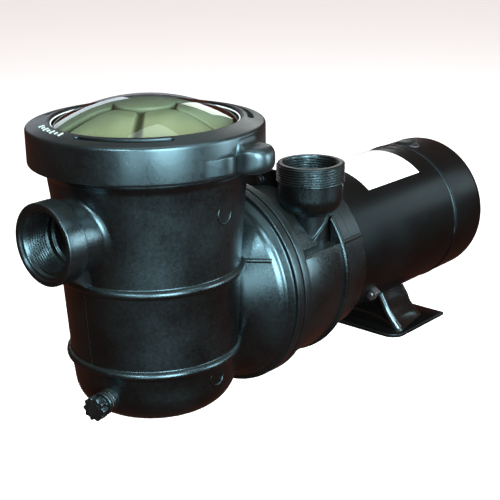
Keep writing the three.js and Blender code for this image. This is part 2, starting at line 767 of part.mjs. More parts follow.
function rearCover() {
  const cover = turnX([
    [COVER_X, SHELL_BORE_R],
    [COVER_X, MOTOR_R + 0.4],
    [MOTOR_END_X - 5, MOTOR_R],
    [MOTOR_END_X - 1.5, MOTOR_R - 1.4],
    [MOTOR_END_X, MOTOR_R - 4],
    [MOTOR_END_X, 0],
    [MOTOR_END_X - 3, 0],
    [MOTOR_END_X - 3, SHELL_BORE_R - 2],
    [MOTOR_END_X - 5, SHELL_BORE_R],
    [COVER_X, SHELL_BORE_R],
  ]);
  const vents = [];
  for (let i = 0; i < 7; i += 1) {
    const z = -36 + 12 * i;
    vents.push(block(MOTOR_END_X - 6, MOTOR_END_X + 1, -30, 30, z - 2, z + 2));
  }
  const cordHole = rodZ(CORD_HOLE_R, 55, 80, 20).rotate([THREE.MathUtils.radToDeg(CORD_HOLE_ANGLE) - 90, 0, 0]);
  const screwHoles = COVER_SCREW_ANGLES.map((angle) => {
    return rodX(2.3, MOTOR_END_X - 6, MOTOR_END_X + 1, ROUND_SCREW, ...onCircle(COVER_SCREW_CIRCLE_R, angle));
  });
  return cut(cover, ...vents, cordHole.translate([CORD_HOLE_X, 0, 0]), ...screwHoles);
}

function cordGrommet() {
  const ring = turnZ([
    [4.5, 66],
    [CORD_HOLE_R - GAP, 66],
    [CORD_HOLE_R - GAP, 71.8],
    [6.5, 73.2],
    [4.5, 73.2],
    [4.5, 66],
  ], 20);
  return ring.rotate([THREE.MathUtils.radToDeg(CORD_HOLE_ANGLE) - 90, 0, 0]).translate([CORD_HOLE_X, 0, 0]);
}

function ratingLabel() {
  const [from, to] = [62, 128].map(THREE.MathUtils.degToRad);
  const shape = new THREE.Shape();
  shape.absarc(0, 0, MOTOR_R + 0.7, from, to, false);
  shape.absarc(0, 0, MOTOR_R + GAP, to, from, true);
  const sheet = new THREE.ExtrudeGeometry(shape, { depth: 86, bevelEnabled: false, curveSegments: 14 });
  // the shape's plane becomes the motor's cross-section: its x is the motor's y, its y the motor's z
  sheet.applyMatrix4(new THREE.Matrix4().set(0, 0, 1, 244, 1, 0, 0, 0, 0, 1, 0, 0, 0, 0, 0, 1));
  return solid(sheet);
}

// ---------------------------------------------------------------- foot

// A solid through a stack of rectangles [z, x0, x1, half width in y].
function stackedBlock(levels) {
  const positions = [];
  for (const [z, x0, x1, half] of levels) {
    positions.push(x0, -half, z, x1, -half, z, x1, half, z, x0, half, z);
  }
  const index = [0, 2, 1, 0, 3, 2];
  for (let level = 0; level < levels.length - 1; level += 1) {
    for (let side = 0; side < 4; side += 1) {
      const a = 4 * level + side;
      const b = 4 * level + ((side + 1) % 4);
      index.push(a, b, b + 4, a, b + 4, a + 4);
    }
  }
  const top = 4 * (levels.length - 1);
  index.push(top, top + 1, top + 2, top, top + 2, top + 3);
  const geometry = new THREE.BufferGeometry();
  geometry.setAttribute("position", new THREE.Float32BufferAttribute(positions, 3));
  geometry.setIndex(index);
  return solid(geometry);
}

function motorFoot() {
  const outline = new THREE.Shape();
  outline.moveTo(FOOT_END_X, -FOOT_HALF_WIDTH);
  outline.lineTo(FOOT_END_X, FOOT_HALF_WIDTH);
  outline.lineTo(FOOT_X + 14, FOOT_HALF_WIDTH);
  outline.quadraticCurveTo(FOOT_X + 2, FOOT_HALF_WIDTH - 1, FOOT_X, FOOT_HALF_WIDTH - 18);
  outline.lineTo(FOOT_X, -FOOT_HALF_WIDTH + 18);
  outline.quadraticCurveTo(FOOT_X + 2, -FOOT_HALF_WIDTH + 1, FOOT_X + 14, -FOOT_HALF_WIDTH);
  const plate = new THREE.ExtrudeGeometry(outline, { depth: FOOT_PLATE, bevelEnabled: false, curveSegments: 4 });
  const pedestal = stackedBlock([
    [FOOT_PLATE - 1, 284, 329, 58.5],
    [12, 283, 327.5, 51],
    [22, 281.5, 325, 44.5],
    [39, 280, 320, 36.5],
    [48, 279.5, 319, 33],
  ]);
  const hollow = stackedBlock([
    [-1, 288, 324.5, 54],
    [12, 287, 323.5, 47],
    [22, 285.5, 321.5, 40.5],
    [27.2, 285, 320.5, 37.5],
  ]);
  const saddle = rodX(MOTOR_R + 0.4, FOOT_X - 5, FOOT_END_X + 5, ROUND_LARGE, 0, AXIS_HEIGHT);
  const boltHoles = [-FOOT_BOLT_Y, FOOT_BOLT_Y].map((y) => rodZ(3.4, 20, 40, ROUND_SCREW, FOOT_BOLT_X, y));
  return cut(join(solid(plate), pedestal), hollow, saddle, ...boltHoles);
}

function footBolt(y) {
  const shank = rodZ(3, 22.5, 35, ROUND_SCREW, FOOT_BOLT_X, y);
  const head = rodZ(5.6, 22.5, 26.9, 6, FOOT_BOLT_X, y);
  return shank.add(head);
}

// ---------------------------------------------------------------- assembly

function wetEnd() {
  const group = new THREE.Group();
  const { blackPlastic, seal, clear, cream } = MATERIALS;
  group.add(
    piece("strainer_housing", strainerHousing(), blackPlastic()),
    piece("lock_ring", lockRing(), blackPlastic()),
    piece("strainer_lid", lid(), clear()),
    piece("strainer_basket", basket(), cream()),
    piece("basket_cover", basketCover(), cream()),
  );
  const lidSeal = piece("lid_o_ring", ringSeal(LID_SEAL_R, LID_SEAL_SECTION, ROUND_LARGE), seal());
  lidSeal.position.z = (POT_RIM_Z + LID_FLANGE_BOTTOM_Z) / 2;
  group.add(lidSeal);
  const drain = new THREE.Group();
  drain.position.z = DRAIN_Z;
  drain.rotation.z = DRAIN_ANGLE;
  drain.add(piece("drain_plug", drainPlug(), blackPlastic()));
  drain.add(piece("drain_o_ring", drainSeal(), seal()));
  group.add(drain);
  return group;
}

function casingAndDrive() {
  const group = new THREE.Group();
  const { blackPlastic, seal, steel, ceramic } = MATERIALS;
  group.position.z = AXIS_HEIGHT;
  group.add(
    piece("volute_housing", casingRear(), blackPlastic()),
    piece("casing_seal", tubeX(CHAMBER_R + 2.6, CHAMBER_R + 5.4, PARTING_X + GAP, REAR_FLANGE_X + 1.4), seal()),
    piece("diffuser", diffuser(), blackPlastic()),
    piece("impeller", impeller(), blackPlastic()),
    piece("shaft_seal_rotor", sealRotor(), steel()),
    piece("shaft_seal_seat", sealSeat(), ceramic()),
    piece("seal_plate", sealPlate(), blackPlastic()),
    piece("seal_plate_o_ring", tubeX(CHAMBER_R - 2.9, CHAMBER_R - GAP, 158, 160.6), seal()),
    piece("motor_shaft", rodX(SHAFT_R, 131.5, 378, ROUND_SHAFT), steel()),
  );
  CASING_SCREW_ANGLES.forEach((angle, i) => {
    const screw = hexScrew(2.3, 4.4, 4, 81.2, REAR_FLANGE_END_X + GAP, CASING_SCREW_CIRCLE_R, angle);
    group.add(piece(`casing_screw_${i + 1}`, screw, steel()));
  });
  ADAPTER_BOLT_ANGLES.forEach((angle, i) => {
    const bolt = hexScrew(2.2, 4.3, 3.6, ADAPTER_X + 6.5, MOTOR_FLANGE_X - GAP, ADAPTER_BOLT_CIRCLE_R, angle);
    group.add(piece(`adapter_bolt_${i + 1}`, bolt, steel()));
  });
  return group;
}

function motor() {
  const group = new THREE.Group();
  const { blackPlastic, seal, paint, steel, copper, lamination, label, phenolic } = MATERIALS;
  group.position.z = AXIS_HEIGHT;
  group.add(
    piece("motor_adapter", motorAdapter(), blackPlastic()),
    piece("front_end_bracket", frontEndBracket(), finish(0x8c9094, 0.5, 0.9)),
    piece("front_bearing", bearing(20, 179.3, 191.3), steel()),
    piece("cooling_fan", coolingFan(), blackPlastic()),
    piece("motor_shell", motorShell(), paint()),
    piece("stator_core", statorCore(), lamination()),
    piece("front_winding", winding(206, STATOR_X - GAP), copper()),
    piece("rear_winding", winding(STATOR_END_X + GAP, 324), copper()),
    piece("rotor_core", tubeX(SHAFT_R + GAP, ROTOR_R, STATOR_X + 2, STATOR_END_X - 2, ROUND_MEDIUM), lamination()),
    piece("rear_end_bracket", rearEndBracket(), finish(0x8c9094, 0.5, 0.9)),
    piece("rear_bearing", bearing(17.5, 349.3, 359.5), steel()),
    piece("start_switch_rotor", tubeX(SHAFT_R + GAP, 18, 364, 372, ROUND_SHAFT), phenolic()),
    piece("terminal_board", block(363.5, 367, -54, -25, -20, 22), phenolic()),
    piece("start_capacitor", rodX(17, 366, 402, ROUND_SHAFT, 28, 30), blackPlastic()),
    piece("rear_cover", rearCover(), paint()),
    piece("cord_grommet", cordGrommet(), seal()),
    piece("rating_label", ratingLabel(), label()),
    piece("bonding_lug", bondingLug(), steel()),
  );
  THROUGH_BOLT_ANGLES.forEach((angle, i) => {
    group.add(piece(`through_bolt_${i + 1}`, throughBolt(angle), steel()));
  });
  COVER_SCREW_ANGLES.forEach((angle, i) => {
    const screw = hexScrew(1.9, 3.8, 2.4, 346, MOTOR_END_X - 3 - 2.8, COVER_SCREW_CIRCLE_R, angle);
    group.add(piece(`cover_screw_${i + 1}`, screw, steel()));
  });
  return group;
}

function bondingLug() {
  const lug = block(BONDING_LUG_X - 5, BONDING_LUG_X + 5, -4, 4, -MOTOR_R - 7.5, -MOTOR_R - GAP);
  return lug.rotate([BONDING_LUG_TURN, 0, 0]);
}

function foot() {
  const group = new THREE.Group();
  group.add(piece("motor_foot", motorFoot(), MATERIALS.paint()));
  group.add(piece("foot_bolt_1", footBolt(-FOOT_BOLT_Y), MATERIALS.steel()));
  group.add(piece("foot_bolt_2", footBolt(FOOT_BOLT_Y), MATERIALS.steel()));
  return group;
}

const pump = new THREE.Group();
pump.add(wetEnd(), casingAndDrive(), motor(), foot());
pump.position.x = -MIDDLE_X;

export default pump;
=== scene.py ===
"""Pool pump: the visible pieces, materials, floor, lights and camera, built round the CAD frame."""

import json
from math import asin, atan2, cos, degrees, dist, exp, hypot, pi, radians, sin, sqrt

import bmesh
import bpy
import numpy as np
from mathutils import Matrix, Vector

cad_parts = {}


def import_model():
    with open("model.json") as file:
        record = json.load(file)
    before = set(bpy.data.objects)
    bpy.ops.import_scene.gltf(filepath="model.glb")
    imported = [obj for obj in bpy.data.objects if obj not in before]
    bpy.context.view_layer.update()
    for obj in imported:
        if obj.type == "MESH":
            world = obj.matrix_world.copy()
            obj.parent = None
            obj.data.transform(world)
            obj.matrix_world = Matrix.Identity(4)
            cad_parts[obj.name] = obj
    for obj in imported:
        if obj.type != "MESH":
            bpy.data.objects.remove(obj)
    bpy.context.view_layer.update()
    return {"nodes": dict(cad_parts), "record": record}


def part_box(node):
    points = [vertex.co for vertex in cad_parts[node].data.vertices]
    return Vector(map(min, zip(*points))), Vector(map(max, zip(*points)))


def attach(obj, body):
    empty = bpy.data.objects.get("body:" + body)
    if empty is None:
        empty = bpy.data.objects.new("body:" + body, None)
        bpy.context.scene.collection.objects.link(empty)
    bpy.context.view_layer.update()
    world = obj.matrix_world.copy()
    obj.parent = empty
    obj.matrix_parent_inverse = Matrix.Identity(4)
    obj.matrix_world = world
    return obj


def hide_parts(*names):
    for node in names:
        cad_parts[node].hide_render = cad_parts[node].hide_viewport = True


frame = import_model()

MM = 0.001
TAU = 2 * pi

# ---------------------------------------------------------------- datums, some read from the CAD's own boxes, the rest given as numbers


def middle(node):
    low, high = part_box(node)
    return (low + high) / 2


POT_X = middle("lid_o_ring").x  # the strainer pot's axis
AXIS_Z = middle("motor_shaft").z / MM  # height of the motor's axis, in mm
SUCTION_FACE = (POT_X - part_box("strainer_housing")[0].x) / MM
SUCTION_Z = 184.0
DISCHARGE_X = 147.0
DISCHARGE_Y = -50.0
DISCHARGE_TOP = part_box("volute_housing")[1].z / MM
RING_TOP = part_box("lock_ring")[1].z / MM
RING_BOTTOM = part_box("lock_ring")[0].z / MM
RING_EDGE = RING_TOP - 4.3  # the ring's top slopes up from its rim to the window
RING_R = 95.0
WINDOW_R = 76.6
LID_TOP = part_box("strainer_lid")[1].z / MM
MOTOR_R = 71.0
MOTOR_END = (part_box("rear_cover")[1].x - POT_X) / MM
DRAIN_ANGLE = radians(193)
DRAIN_Z = 47.0
DRAIN_BORE_R = 5.3
EYE_R = 22.0  # the pot's way into the impeller
POT_FLOOR = 22.0  # the pot hangs clear of the ground
POT_FLAT_R = 40.0  # the flat of its floor
POT_CORNER = 28.0
POT_THICK = 4.5
LOW_BAND_Z = 70.0
HIGH_BAND_Z = 139.5
DRUM_R = 72.0  # casing drum round the impeller
FLANGE_R = 91.3
SKIRT_R = 85.0
LUG_ANGLES = (radians(-80), radians(100))
LUG_REACH = 21.45
SLOT_ANGLES = (94, 214, 334)  # middles of the curved slots in the ring's top
SLOT_HALF_ANGLE = 25

# ---------------------------------------------------------------- mesh building, in mm, x from the pot's axis


def to_row(points):
    """Points in mm, x from the pot's axis, to metres in the row frame."""
    out = np.asarray(points, float) * MM
    out[:, 0] += POT_X
    return out


def frame_at(origin, direction, up=(0, 0, 1)):
    """Matrix that takes local Z to direction and puts the origin at a point, in mm."""
    z = Vector(direction).normalized()
    up = Vector(up)
    if abs(z.dot(up)) > 0.99:
        up = Vector((1, 0, 0))
    x = up.cross(z).normalized()
    y = z.cross(x)
    m = Matrix((x, y, z)).transposed().to_4x4()
    m.translation = Vector(origin)
    return m


POT = Matrix.Identity(4)
DRIVE = frame_at((0, 0, AXIS_Z), (1, 0, 0))
SUCTION = frame_at((0, 0, SUCTION_Z), (-1, 0, 0))
DISCHARGE = frame_at((DISCHARGE_X, DISCHARGE_Y, 0), (0, 0, 1))


def polar(radius, angle, *height):
    """A point at a radius and an angle in radians, with its height if one is given."""
    return (radius * cos(angle), radius * sin(angle), *height)


def beside_axis(x, radius, angle):
    """A point beside the drive's axis. Its angle runs from +Y towards +Z."""
    return x, radius * cos(angle), AXIS_Z + radius * sin(angle)


DRAIN = frame_at((0, 0, DRAIN_Z), polar(1, DRAIN_ANGLE, 0))


def arc(ca, cb, radius, start, end, steps=8):
    """Points on a circle in a profile plane; angles in degrees."""
    return [
        (ca + radius * cos(radians(a)), cb + radius * sin(radians(a)))
        for a in np.linspace(start, end, steps + 1)
    ]


def cap(radius, base, top, steps=24):
    """Points of a dome's profile from its rim, at height base, to its crown."""
    rise = top - base
    ball = (radius**2 + rise**2) / (2 * rise)
    return [
        (ball * sin(a), top - ball * (1 - cos(a)))
        for a in np.linspace(asin(radius / ball), 0, steps + 1)
    ]


def rounded(profile, closed=True, steps=4):
    """A profile with corners rounded where a point has a third number, its radius."""
    count = len(profile)
    out = []
    for i, point in enumerate(profile):
        here = np.array(point[:2], float)
        radius = point[2] if len(point) > 2 else 0
        if radius <= 0 or (not closed and i in (0, count - 1)):
            out.append(tuple(here))
            continue
        before = np.array(profile[i - 1][:2], float) - here
        after = np.array(profile[(i + 1) % count][:2], float) - here
        la, lb = np.linalg.norm(before), np.linalg.norm(after)
        d = min(radius, 0.49 * la, 0.49 * lb)
        a, b = here + before / la * d, here + after / lb * d
        for t in np.linspace(0, 1, steps + 1):
            out.append(tuple((1 - t) ** 2 * a + 2 * t * (1 - t) * here + t**2 * b))
    return out


def tooth(phase):
    """Height of a pipe thread with a flattened crest, 0 to 1, once per turn of phase."""
    p = phase - np.floor(phase)
    return np.clip(1.25 - np.abs(2 * p - 1) * 2.2, 0, 1) * 0.9 + 0.1 * np.clip(1 - np.abs(2 * p - 1), 0, 1)


def lattice(rows, columns, closed=False):
    """Quads over rows of points, each row a closed loop. closed joins the last row to the first."""
    faces = []
    for i in range(rows if closed else rows - 1):
        j = (i + 1) % rows
        for k in range(columns):
            n = (k + 1) % columns
            faces.append((i * columns + k, i * columns + n, j * columns + n, j * columns + k))
    return faces


def turned(profile, place=POT, segments=160, thread=None):
    """A profile of (radius, height), its corners rounded, turned about local Z.

    thread is (pitch, depth at a radius and height)."""
    pts = np.array(rounded(profile), float)
    theta = np.linspace(0, TAU, segments, endpoint=False)
    r = np.repeat(pts[:, :1], segments, axis=1)
    h = np.repeat(pts[:, 1:2], segments, axis=1)
    if thread:
        pitch, depth = thread
        d = np.array([depth(rr, hh) for rr, hh in pts])
        r = r + d[:, None] * tooth(h / pitch - theta[None, :] / TAU)
    co = np.stack([r * np.cos(theta), r * np.sin(theta), h], axis=2).reshape(-1, 3)
    return moved(co, place), lattice(len(pts), segments, closed=True)


def moved(points, place):
    m = np.array(place)
    return np.asarray(points, float) @ m[:3, :3].T + m[:3, 3]


def merged(*parts):
    """Several (points, faces) as one."""
    points, faces, base = [], [], 0
    for co, fs in parts:
        points.append(np.asarray(co, float))
        faces += [tuple(base + i for i in f) for f in fs]
        base += len(co)
    return np.concatenate(points), faces


def loft(sections, capped=True):
    """Faces between closed sections that have the same number of points."""
    rows = np.array(sections, float)
    n, m = rows.shape[:2]
    faces = lattice(n, m)
    if capped:
        faces.append(tuple(range(m - 1, -1, -1)))
        faces.append(tuple(range((n - 1) * m, n * m)))
    return rows.reshape(-1, 3), faces


def unit_rows(vectors):
    return vectors / np.linalg.norm(vectors, axis=1)[:, None]


def outline_prism(outline, z0, z1, bevel=0.0, place=POT):
    """A closed outline raised from z0 to z1, with its top and bottom edges rounded."""
    pts = np.array(outline, float)
    before = pts - np.roll(pts, 1, axis=0)
    after = np.roll(pts, -1, axis=0) - pts
    tangent = unit_rows(unit_rows(before) + unit_rows(after))
    area = 0.5 * np.sum(pts[:, 0] * np.roll(pts[:, 1], -1) - np.roll(pts[:, 0], -1) * pts[:, 1])
    inward = np.stack([-tangent[:, 1], tangent[:, 0]], axis=1) * (1 if area > 0 else -1)
    if bevel > 0:
        quarter = [(bevel * (1 - cos(radians(a))), bevel * (1 - sin(radians(a))))
                   for a in (0, 30, 60, 90)]
        levels = [(inset, z0 + step) for inset, step in reversed(quarter)]
        levels += [(inset, z1 - step) for inset, step in quarter]
    else:
        levels = [(0, z0), (0, z1)]
    sections = [np.column_stack([pts + inward * inset, np.full(len(pts), z)]) for inset, z in levels]
    co, faces = loft(sections)
    return moved(co, place), faces


def tube_along(path, radius, sides=10, closed=False):
    """A round tube along points; radius is a number or one per point."""
    pts = np.array(path, float)
    radii = np.full(len(pts), float(radius)) if np.isscalar(radius) else np.array(radius, float)
    sections = []
    for i, p in enumerate(pts):
        if closed:
            t = pts[(i + 1) % len(pts)] - pts[i - 1]
        else:
            t = pts[min(i + 1, len(pts) - 1)] - pts[max(i - 1, 0)]
        t /= np.linalg.norm(t)
        side = np.cross(t, (0, 0, 1.0))
        if np.linalg.norm(side) < 1e-6:
            side = np.array((1.0, 0, 0))
        side /= np.linalg.norm(side)
        up = np.cross(side, t)
        angles = np.linspace(0, TAU, sides, endpoint=False)
        sections.append(p + radii[i] * (np.outer(np.cos(angles), side) + np.outer(np.sin(angles), up)))
    if closed:
        sections.append(sections[0])
    return loft(sections, capped=not closed)


SHARP = 35  # degrees; edges that bend more than this stay crisp


def mesh_of(name, co, faces, sharp=SHARP):
    mesh = bpy.data.meshes.new(name)
    mesh.from_pydata(to_row(co).tolist(), [], faces)
    bm = bmesh.new()
    bm.from_mesh(mesh)
    bmesh.ops.remove_doubles(bm, verts=bm.verts, dist=2e-6)
    bmesh.ops.dissolve_degenerate(bm, edges=bm.edges, dist=1e-6)
    bmesh.ops.recalc_face_normals(bm, faces=bm.faces)
    bm.to_mesh(mesh)
    bm.free()
    mesh.shade_smooth()
    mesh.set_sharp_from_angle(angle=radians(sharp))
    return mesh


def linked(name, data):
    obj = bpy.data.objects.new(name, data)
    bpy.context.collection.objects.link(obj)
    return obj


def add(name, part, material, body="root", stands_for=(), sharp=SHARP):
    """A finished piece: its mesh, its material, the body it rides on and the CAD nodes it stands for."""
    obj = linked(name, mesh_of(name, *part, sharp=sharp))
    obj.data.materials.append(material)
    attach(obj, body)
    if stands_for:
        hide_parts(*stands_for)
    return obj


def carve(obj, *parts):
    """Cuts closed shapes out of a piece."""
    for part in parts:
        tool = linked("tool", mesh_of("tool", *part))
        cut = obj.modifiers.new("cut", "BOOLEAN")
        cut.object = tool
        cut.operation = "DIFFERENCE"
        cut.solver = "EXACT"
        bpy.context.view_layer.update()
        done = bpy.data.meshes.new_from_object(obj.evaluated_get(bpy.context.evaluated_depsgraph_get()))
        obj.modifiers.clear()
        obj.data = done
        bpy.data.objects.remove(tool)
    obj.data.shade_smooth()
    obj.data.set_sharp_from_angle(angle=radians(SHARP))


# ---------------------------------------------------------------- materials


class Nodes:
    """A material's node tree, with short calls for the nodes used below."""

    def __init__(self, name):
        self.material = bpy.data.materials.new(name)
        self.material.use_nodes = True
        self.tree = self.material.node_tree
        self.tree.nodes.clear()
        self.out = self.add("OutputMaterial")
        self.coord = self.add("TexCoord").outputs["Object"]

    def add(self, kind, **values):
        node = self.tree.nodes.new("ShaderNode" + kind)
        for key, value in values.items():
            setattr(node, key, value)
        return node

    def put(self, value, socket):
        if isinstance(value, bpy.types.NodeSocket):
            self.tree.links.new(value, socket)
        else:
            socket.default_value = value

    def put_colour(self, value, socket):
        self.put(value if isinstance(value, bpy.types.NodeSocket) else (*value, 1.0), socket)

    def fill(self, node, **values):
        """Sets or links a node's inputs by name, with _ for a space."""
        for key, value in values.items():
            self.put(value, node.inputs[key.replace("_", " ")])
        return node

    def noise(self, scale, detail=4.0, roughness=0.55, stretch=None, distortion=0.0):
        node = self.fill(self.add("TexNoise"), Scale=scale, Detail=detail, Roughness=roughness,
                         Distortion=distortion)
        source = self.coord
        if stretch:
            mapping = self.fill(self.add("Mapping"), Scale=stretch, Vector=self.coord)
            source = mapping.outputs["Vector"]
        self.put(source, node.inputs["Vector"])
        return node.outputs["Fac"]

    def spread(self, value, low, high, to_low=0.0, to_high=1.0):
        """Maps low to high onto another range, 0 to 1 unless given."""
        node = self.fill(self.add("MapRange"), From_Min=low, From_Max=high, To_Min=to_low,
                         To_Max=to_high, Value=value)
        return node.outputs["Result"]

    def math(self, operation, a, b=0.0):
        node = self.add("Math", operation=operation)
        self.put(a, node.inputs[0])
        self.put(b, node.inputs[1])
        return node.outputs["Value"]

    def times(self, a, b):
        return self.math("MULTIPLY", a, b)

    def plus(self, a, b):
        return self.math("ADD", a, b)

    def mix(self, factor, a, b):
        node = self.add("Mix", data_type="RGBA")
        self.put(factor, node.inputs[0])
        self.put_colour(a, node.inputs[6])
        self.put_colour(b, node.inputs[7])
        return node.outputs[2]

    def between(self, noise, a, b):
        """A colour that drifts from a to b with a noise."""
        return self.mix(self.spread(noise, 0.35, 0.7), a, b)

    def normal(self, axis):
        split = self.add("SeparateXYZ")
        self.put(self.add("NewGeometry").outputs["Normal"], split.inputs[0])
        return split.outputs[axis]

    def pointiness(self):
        return self.add("NewGeometry").outputs["Pointiness"]

    def bumps(self, *layers, bevel=0.0):
        """Bump layers of (height, distance in mm, strength), one over the other, on rounded corners."""
        normal = None
        if bevel:
            node = self.fill(self.add("Bevel", samples=4), Radius=bevel * MM)
            normal = node.outputs["Normal"]
        for height, distance, strength in layers:
            node = self.fill(self.add("Bump"), Distance=distance * MM, Strength=strength,
                             Height=height)
            if normal is not None:
                self.put(normal, node.inputs["Normal"])
            normal = node.outputs["Normal"]
        return normal

    def shader(self, colour, roughness, normal=None, **constants):
        bsdf = self.add("BsdfPrincipled")
        self.put_colour(colour, bsdf.inputs["Base Color"])
        self.put(roughness, bsdf.inputs["Roughness"])
        if normal is not None:
            self.put(normal, bsdf.inputs["Normal"])
        for key, value in constants.items():
            bsdf.inputs[key.replace("_", " ")].default_value = value
        self.put(bsdf.outputs["BSDF"], self.out.inputs["Surface"])


TEAL = (0.50, 0.86, 1.0, 1.0)  # tint of the gloss on the black parts


def moulded(name, dark, light, roughness, grain=0.5, painted_top_light=0.35, bevel=0.8, streaks=0.0, specular=0.5,
            mottle=0.0):
    """Moulded plastic: fine grain, cloudy sheen, rubbed edges, and a painted grey-green top light on faces
    that look up.
    """
    n = Nodes(name)
    cloud = n.noise(22, 4)
    fine = n.noise(900, 3, 0.7)
    speck = n.noise(330, 2, 0.8)
    colour = n.between(cloud, dark, light)
    rubbed = n.times(n.spread(n.pointiness(), 0.515, 0.56), 0.35)
    colour = n.mix(rubbed, colour, tuple(min(1, c * 3.0) for c in light))
    # painted light: faces that look up are mixed towards grey-green, standing in for the overhead light's
    # sheen
    up = n.spread(n.normal("Z"), 0.55, 1.0)
    top_light_mask = n.times(up, n.spread(n.noise(55, 5), 0.3, 0.75, 0.4, 1.0))
    colour = n.mix(n.times(top_light_mask, painted_top_light), colour, (0.06, 0.082, 0.074))
    rough = n.spread(cloud, 0.3, 0.7, roughness - 0.05, roughness + 0.06)
    rough = n.plus(rough, n.spread(speck, 0.3, 0.75, -0.04, 0.05))
    rough = n.plus(rough, n.times(up, 0.08))
    layers = [(n.noise(60, 2), 0.25, 0.12), (fine, 0.05, grain)]
    if streaks:
        flow = n.noise(260, 3, 0.6, stretch=(1.0, 1.0, 0.16), distortion=0.4)
        layers.append((flow, 0.08, streaks))
    if mottle:
        layers.append((n.noise(170, 5, 0.75, distortion=1.2), 0.3, mottle))
    n.shader(colour, rough, n.bumps(*layers, bevel=bevel), Specular_IOR_Level=specular, Specular_Tint=TEAL)
    return n.material


def enamel(name, dark, light, roughness, peel=0.25, painted_top_light=0.15, specular=0.5):
    """Gloss paint on metal: orange peel, faint scuffs and rubbed edges."""
    n = Nodes(name)
    cloud = n.noise(16, 4)
    scuff = n.noise(140, 6, 0.75, stretch=(0.35, 1, 1), distortion=0.6)
    colour = n.between(cloud, dark, light)
    edge = n.spread(n.pointiness(), 0.52, 0.57)
    colour = n.mix(n.times(edge, 0.3), colour, (0.03, 0.032, 0.034))
    up = n.spread(n.normal("Z"), 0.5, 1.0)
    # painted light: faces that look up are mixed towards grey, standing in for the overhead light's sheen
    colour = n.mix(n.times(up, painted_top_light), colour, (0.07, 0.08, 0.078))
    rough = n.plus(n.spread(cloud, 0.3, 0.7, roughness - 0.04, roughness + 0.05),
                   n.spread(scuff, 0.55, 0.8, 0.0, 0.14))
    bump = n.bumps((n.noise(420, 2), 0.05, peel), bevel=0.5)
    n.shader(colour, rough, bump, Specular_IOR_Level=specular, Specular_Tint=TEAL)
    return n.material


def metal(name, colour, roughness, stretch=(1, 1, 1), scratch=0.2):
    n = Nodes(name)
    brushed = n.noise(700, 4, 0.7, stretch=stretch)
    cloud = n.noise(45, 4)
    tint = n.between(cloud, tuple(c * 0.72 for c in colour), colour)
    rough = n.spread(brushed, 0.3, 0.7, roughness - 0.07, roughness + 0.1)
    n.shader(tint, rough, n.bumps((brushed, 0.03, scratch)), Metallic=1.0)
    return n.material


def rubber(name):
    n = Nodes(name)
    colour = n.between(n.noise(80, 4), (0.008, 0.008, 0.009), (0.02, 0.02, 0.021))
    n.shader(colour, n.spread(n.noise(500, 3), 0.3, 0.7, 0.62, 0.8), n.bumps((n.noise(1300, 2), 0.03, 0.4)))
    return n.material


def creamy(name):
    """Cream plastic, with painted olive shade in the valleys between its panels."""
    n = Nodes(name)
    cloud = n.noise(30, 4)
    colour = n.mix(n.spread(cloud, 0.3, 0.7), (0.33, 0.345, 0.235), (0.44, 0.46, 0.33))
    # painted shade: the cream is mixed towards dark olive in the valleys between the panels
    valley = n.add("Attribute", attribute_name="valley").outputs["Fac"]
    shade = n.times(valley, n.spread(n.noise(120, 4), 0.3, 0.7, 0.8, 1.0))
    colour = n.mix(shade, colour, (0.022, 0.026, 0.010))
    rough = n.spread(n.noise(160, 4), 0.3, 0.7, 0.34, 0.46)
    n.shader(colour, rough, n.bumps((n.noise(700, 2), 0.04, 0.2), bevel=0.5), Specular_IOR_Level=0.4)
    return n.material


def clear_plastic(name):
    """Thin smoky clear plastic: light and shadow rays pass, and the gloss grows towards grazing angles."""
    n = Nodes(name)
    clear = n.add("BsdfTransparent")
    gloss = n.add("BsdfGlossy")
    n.put(n.spread(n.noise(90, 4), 0.3, 0.7, 0.02, 0.06), gloss.inputs["Roughness"])
    n.put(n.bumps((n.noise(14, 3), 0.4, 0.25), (n.noise(500, 2), 0.02, 0.1)), gloss.inputs["Normal"])
    grazing = n.fill(n.add("LayerWeight"), Blend=0.5).outputs["Facing"]
    tint = n.mix(n.spread(grazing, 0.45, 1.0), (0.70, 0.725, 0.68), (0.56, 0.68, 0.74))
    n.put(tint, clear.inputs["Color"])
    schlick = n.plus(n.times(n.math("POWER", grazing, 5.0), 0.9), 0.04)
    outside = n.math("SUBTRACT", 1.0, n.add("NewGeometry").outputs["Backfacing"])
    both = n.add("MixShader")
    n.put(n.times(schlick, outside), both.inputs["Fac"])
    n.put(clear.outputs[0], both.inputs[1])
    n.put(gloss.outputs[0], both.inputs[2])
    n.put(both.outputs[0], n.out.inputs["Surface"])
    return n.material


def film(name):
    """White printed film with a faint sheen and slightly dirty edges."""
    n = Nodes(name)
    colour = n.between(n.noise(40, 4), (0.93, 0.93, 0.94), (0.98, 0.98, 0.98))
    n.shader(colour, n.spread(n.noise(250, 3), 0.3, 0.7, 0.3, 0.42), n.bumps((n.noise(300, 2), 0.02, 0.15)))
    return n.material


JET = (0.0009, 0.0007, 0.0006)
SOOT = (0.0018, 0.0018, 0.0018)
GLOSS_DARK = (0.0010, 0.0008, 0.0007)
GLOSS_LIGHT = (0.0022, 0.0022, 0.0022)
BLACK = moulded("wet_end_black", (0.0009, 0.0006, 0.0005), (0.0015, 0.0013, 0.0012), 0.31,
                streaks=0.10, painted_top_light=0.10, specular=0.45)
PORT_BLACK = moulded("port_black", JET, SOOT, 0.30, painted_top_light=0.10, mottle=0.22)
CASING_BLACK = moulded("casing_black", JET, SOOT, 0.29, painted_top_light=0.12, mottle=0.12)
RING_BLACK = moulded("ring_black", (0.0010, 0.0009, 0.0008), (0.0022, 0.0024, 0.0025), 0.33,
                     grain=0.75, streaks=0.6, painted_top_light=0.07, specular=0.6, mottle=0.22)
EMBOSS_GREY = moulded("emboss_grey", (0.05, 0.06, 0.055), (0.15, 0.18, 0.165), 0.45, bevel=0.2)
